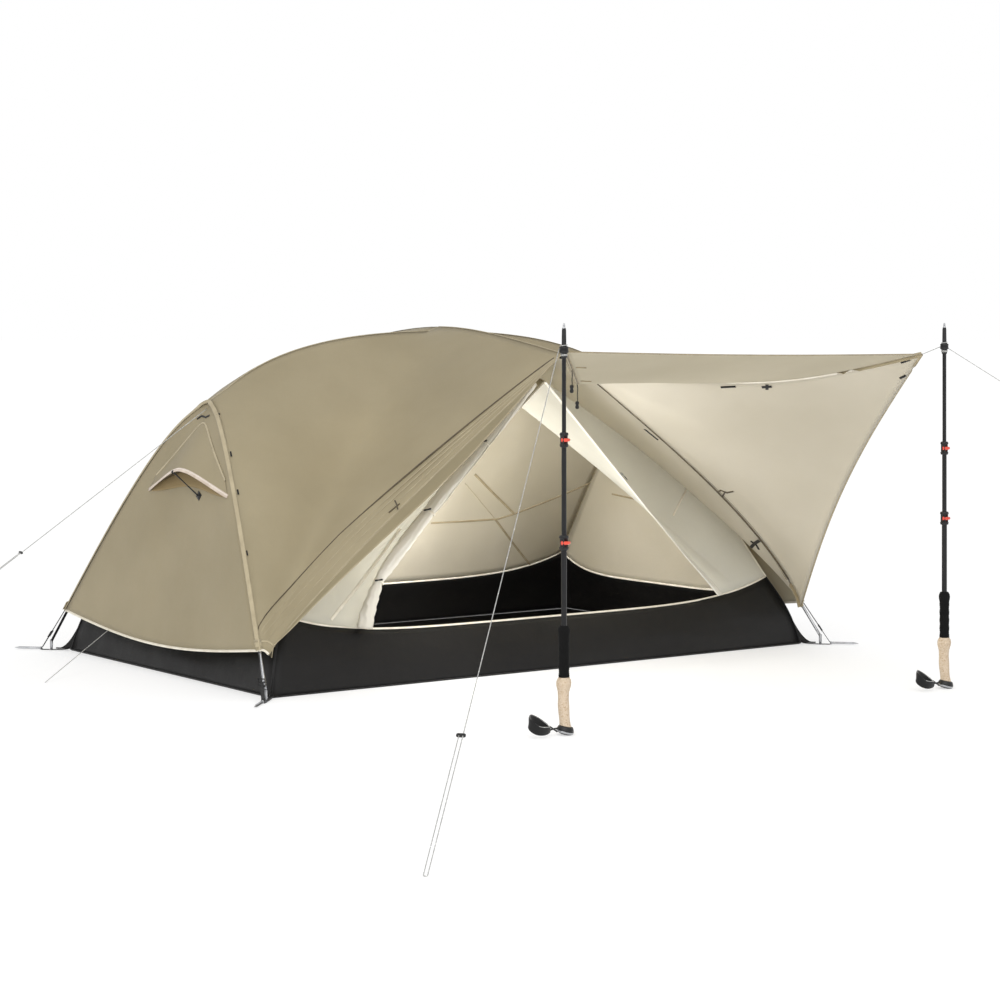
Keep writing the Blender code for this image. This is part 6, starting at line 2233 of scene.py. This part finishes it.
def make_grip(name, place, grip):
    """The foam grip, the cork grip and its tilted cap with a metal rim."""
    profile = raised(FOAM_SHOULDER, FOAM_TOP)
    for k in range(FOAM_RIBS):
        height = FOAM_RIBS_FROM - k * (FOAM_RIBS_FROM - FOAM_RIBS_TO) / (FOAM_RIBS - 1)
        wave = math.cos(k * math.pi) + math.sin(k * 0.7)
        profile.append((FOAM_RADIUS + FOAM_WAVE * wave, height))
    profile.append((FOAM_SHOULDER[0][0], FOAM_LOW))
    foam = lathe(f"{name}_foam", profile, place, "foam", grip, node=f"{name}_foam_grip")
    lathe(f"{name}_cork", CORK, place, "cork", grip, node=f"{name}_cork_grip",
          bend=cork_sway)
    base = place + ASIDE * CAP_ASIDE
    cap = lathe(f"{name}_cap", GRIP_CAP, base, "plastic", grip, node=f"{name}_grip_cap",
                axis=CAP_AXIS)
    rim = lathe(f"{name}_rim", GRIP_RIM, base, "silver", grip, axis=CAP_AXIS)
    joined(f"{name}_cap", [cap, rim])


def make_pole(number):
    """One trekking pole, from its tip down to the strap on its grip."""
    place = POLE_PLACES[number - 1]
    name = f"trekking_pole_{number}"
    dress(f"{name}_grip_shaft", "shaft")
    dress(f"{name}_middle_section", "shaft")
    dress(f"{name}_tip_section", "shaft")
    make_pole_top(name, place, POLE_TIPS[number - 1])
    make_lock(number, "lower", LOWER_LOCK, f"pole_{number}_grip")
    make_lock(number, "upper", POLE_UPPER_LOCKS[number - 1], f"pole_{number}_middle")
    make_grip(name, place, f"pole_{number}_grip")
    make_strap(number, place)


def strap_full(t):
    """The strap's size at a share of its loop: thin where it leaves the grip and full at its far end."""
    return 0.36 + 0.84 * math.sin(math.pi * t) ** 0.7


def make_strap(number, place):
    """A padded wrist strap with its edge cord, and two thin straps that lead into the grip."""
    low = STRAP_WIDTH / 2 + STRAP_LOW
    start = place + Vector((-CAP_RADIUS - CLEAR, 0.0, low))
    reach = (STRAP_REACH - STRAP_THIN) / 2
    path = []
    for k in range(STRAP_STEPS + 1):
        angle = 2 * math.pi * k / STRAP_STEPS
        away = STRAP_NECK + STRAP_THIN + reach - reach * math.cos(angle)
        turn = STRAP_TURN * math.sin(angle) * away / STRAP_REACH
        path.append(start + Vector((-away, -STRAP_BELLY * math.sin(angle), STRAP_TILT * away - turn)))
    body = f"pole_{number}_wrist_strap"
    name = f"trekking_pole_{number}_strap"
    pad = sweep(name, path, UP, oval(STRAP_HALF_THICK, STRAP_WIDTH / 2, 16), "webbing", body,
                node=f"trekking_pole_{number}_wrist_strap", grow=strap_full)
    edge = [p + UP * (STRAP_WIDTH / 2 * strap_full(i / STRAP_STEPS)) for i, p in enumerate(path)]
    sweep(f"{name}_edge", edge, UP, oval(*STRAP_EDGE, 8), "cord", body, ends=False)
    neck = path[0]
    middle = neck.lerp(start, 0.5) + UP * 0.0006
    for word, rise, fall in STRAP_TAILS:
        line = smooth_path([neck + UP * rise, middle, start + ASIDE * 0.001 + UP * fall], 6)
        thin = slab(STRAP_THIN_HALF, STRAP_THIN_THICK)
        sweep(f"{name}_{word}", line, AXES[1], thin, "webbing", body, smooth=False)


def make_details():
    """Tabs, toggles, taped seams and ties that the photograph shows on the cloth."""
    for name, on, look, half, pixels in SEAM_LINES:
        path, outs = on_panel(on, pixels)
        laid_on(name, path, outs, look, half, *LINE_RISE_AND_LIFT, "inner_nylon")
    for name, on, look, half, pixels in MARKS:
        path, outs = on_panel(on, pixels)
        slot = "black_plastic" if look == "plastic" else "black_webbing"
        laid_on(name, path, outs, look, half, *MARK_RISE_AND_LIFT, slot)
    for number, (top, low) in enumerate(AWNING_TIES):
        make_hanging_tie(f"awning_tie_{number + 1}", top, low)


def make_hanging_tie(name, top_pixel, low_pixel):
    """A cord with a toggle that hangs from the awning's open zip edge."""
    ray = pixel_ray(*top_pixel)
    top = min(awning_zip(), key=lambda point: (point - EYE).cross(ray).length) - UP * 0.004
    drop = (low_pixel[1] - top_pixel[1]) / FOCAL * (top - EYE).length
    path = []
    for i in range(15):
        wave = Vector((HANGING_SWAY * math.sin(i * 0.7), HANGING_SWAY * math.cos(i * 0.5), -drop * i / 14))
        path.append(top + wave)
    round_cord = oval(HANGING_RADIUS, HANGING_RADIUS, 10)
    cord = sweep(name, path, Vector((0.0, 1.0, 0.1)), round_cord, "black_cord")
    toggle = lathe(f"{name}_toggle", HANGING_TOGGLE, path[-1], "plastic", steps=20)


def main():
    make_camera()
    make_cords()
    make_light()
    make_stage()
    make_frame()
    make_fly()
    make_storm_flap()
    make_awning()
    make_vent()
    make_tub()
    make_inner()
    make_door_roll()
    make_zip_slider()
    make_corners()
    make_tensioners()
    for number in (1, 2):
        make_pole(number)
    make_details()


main()
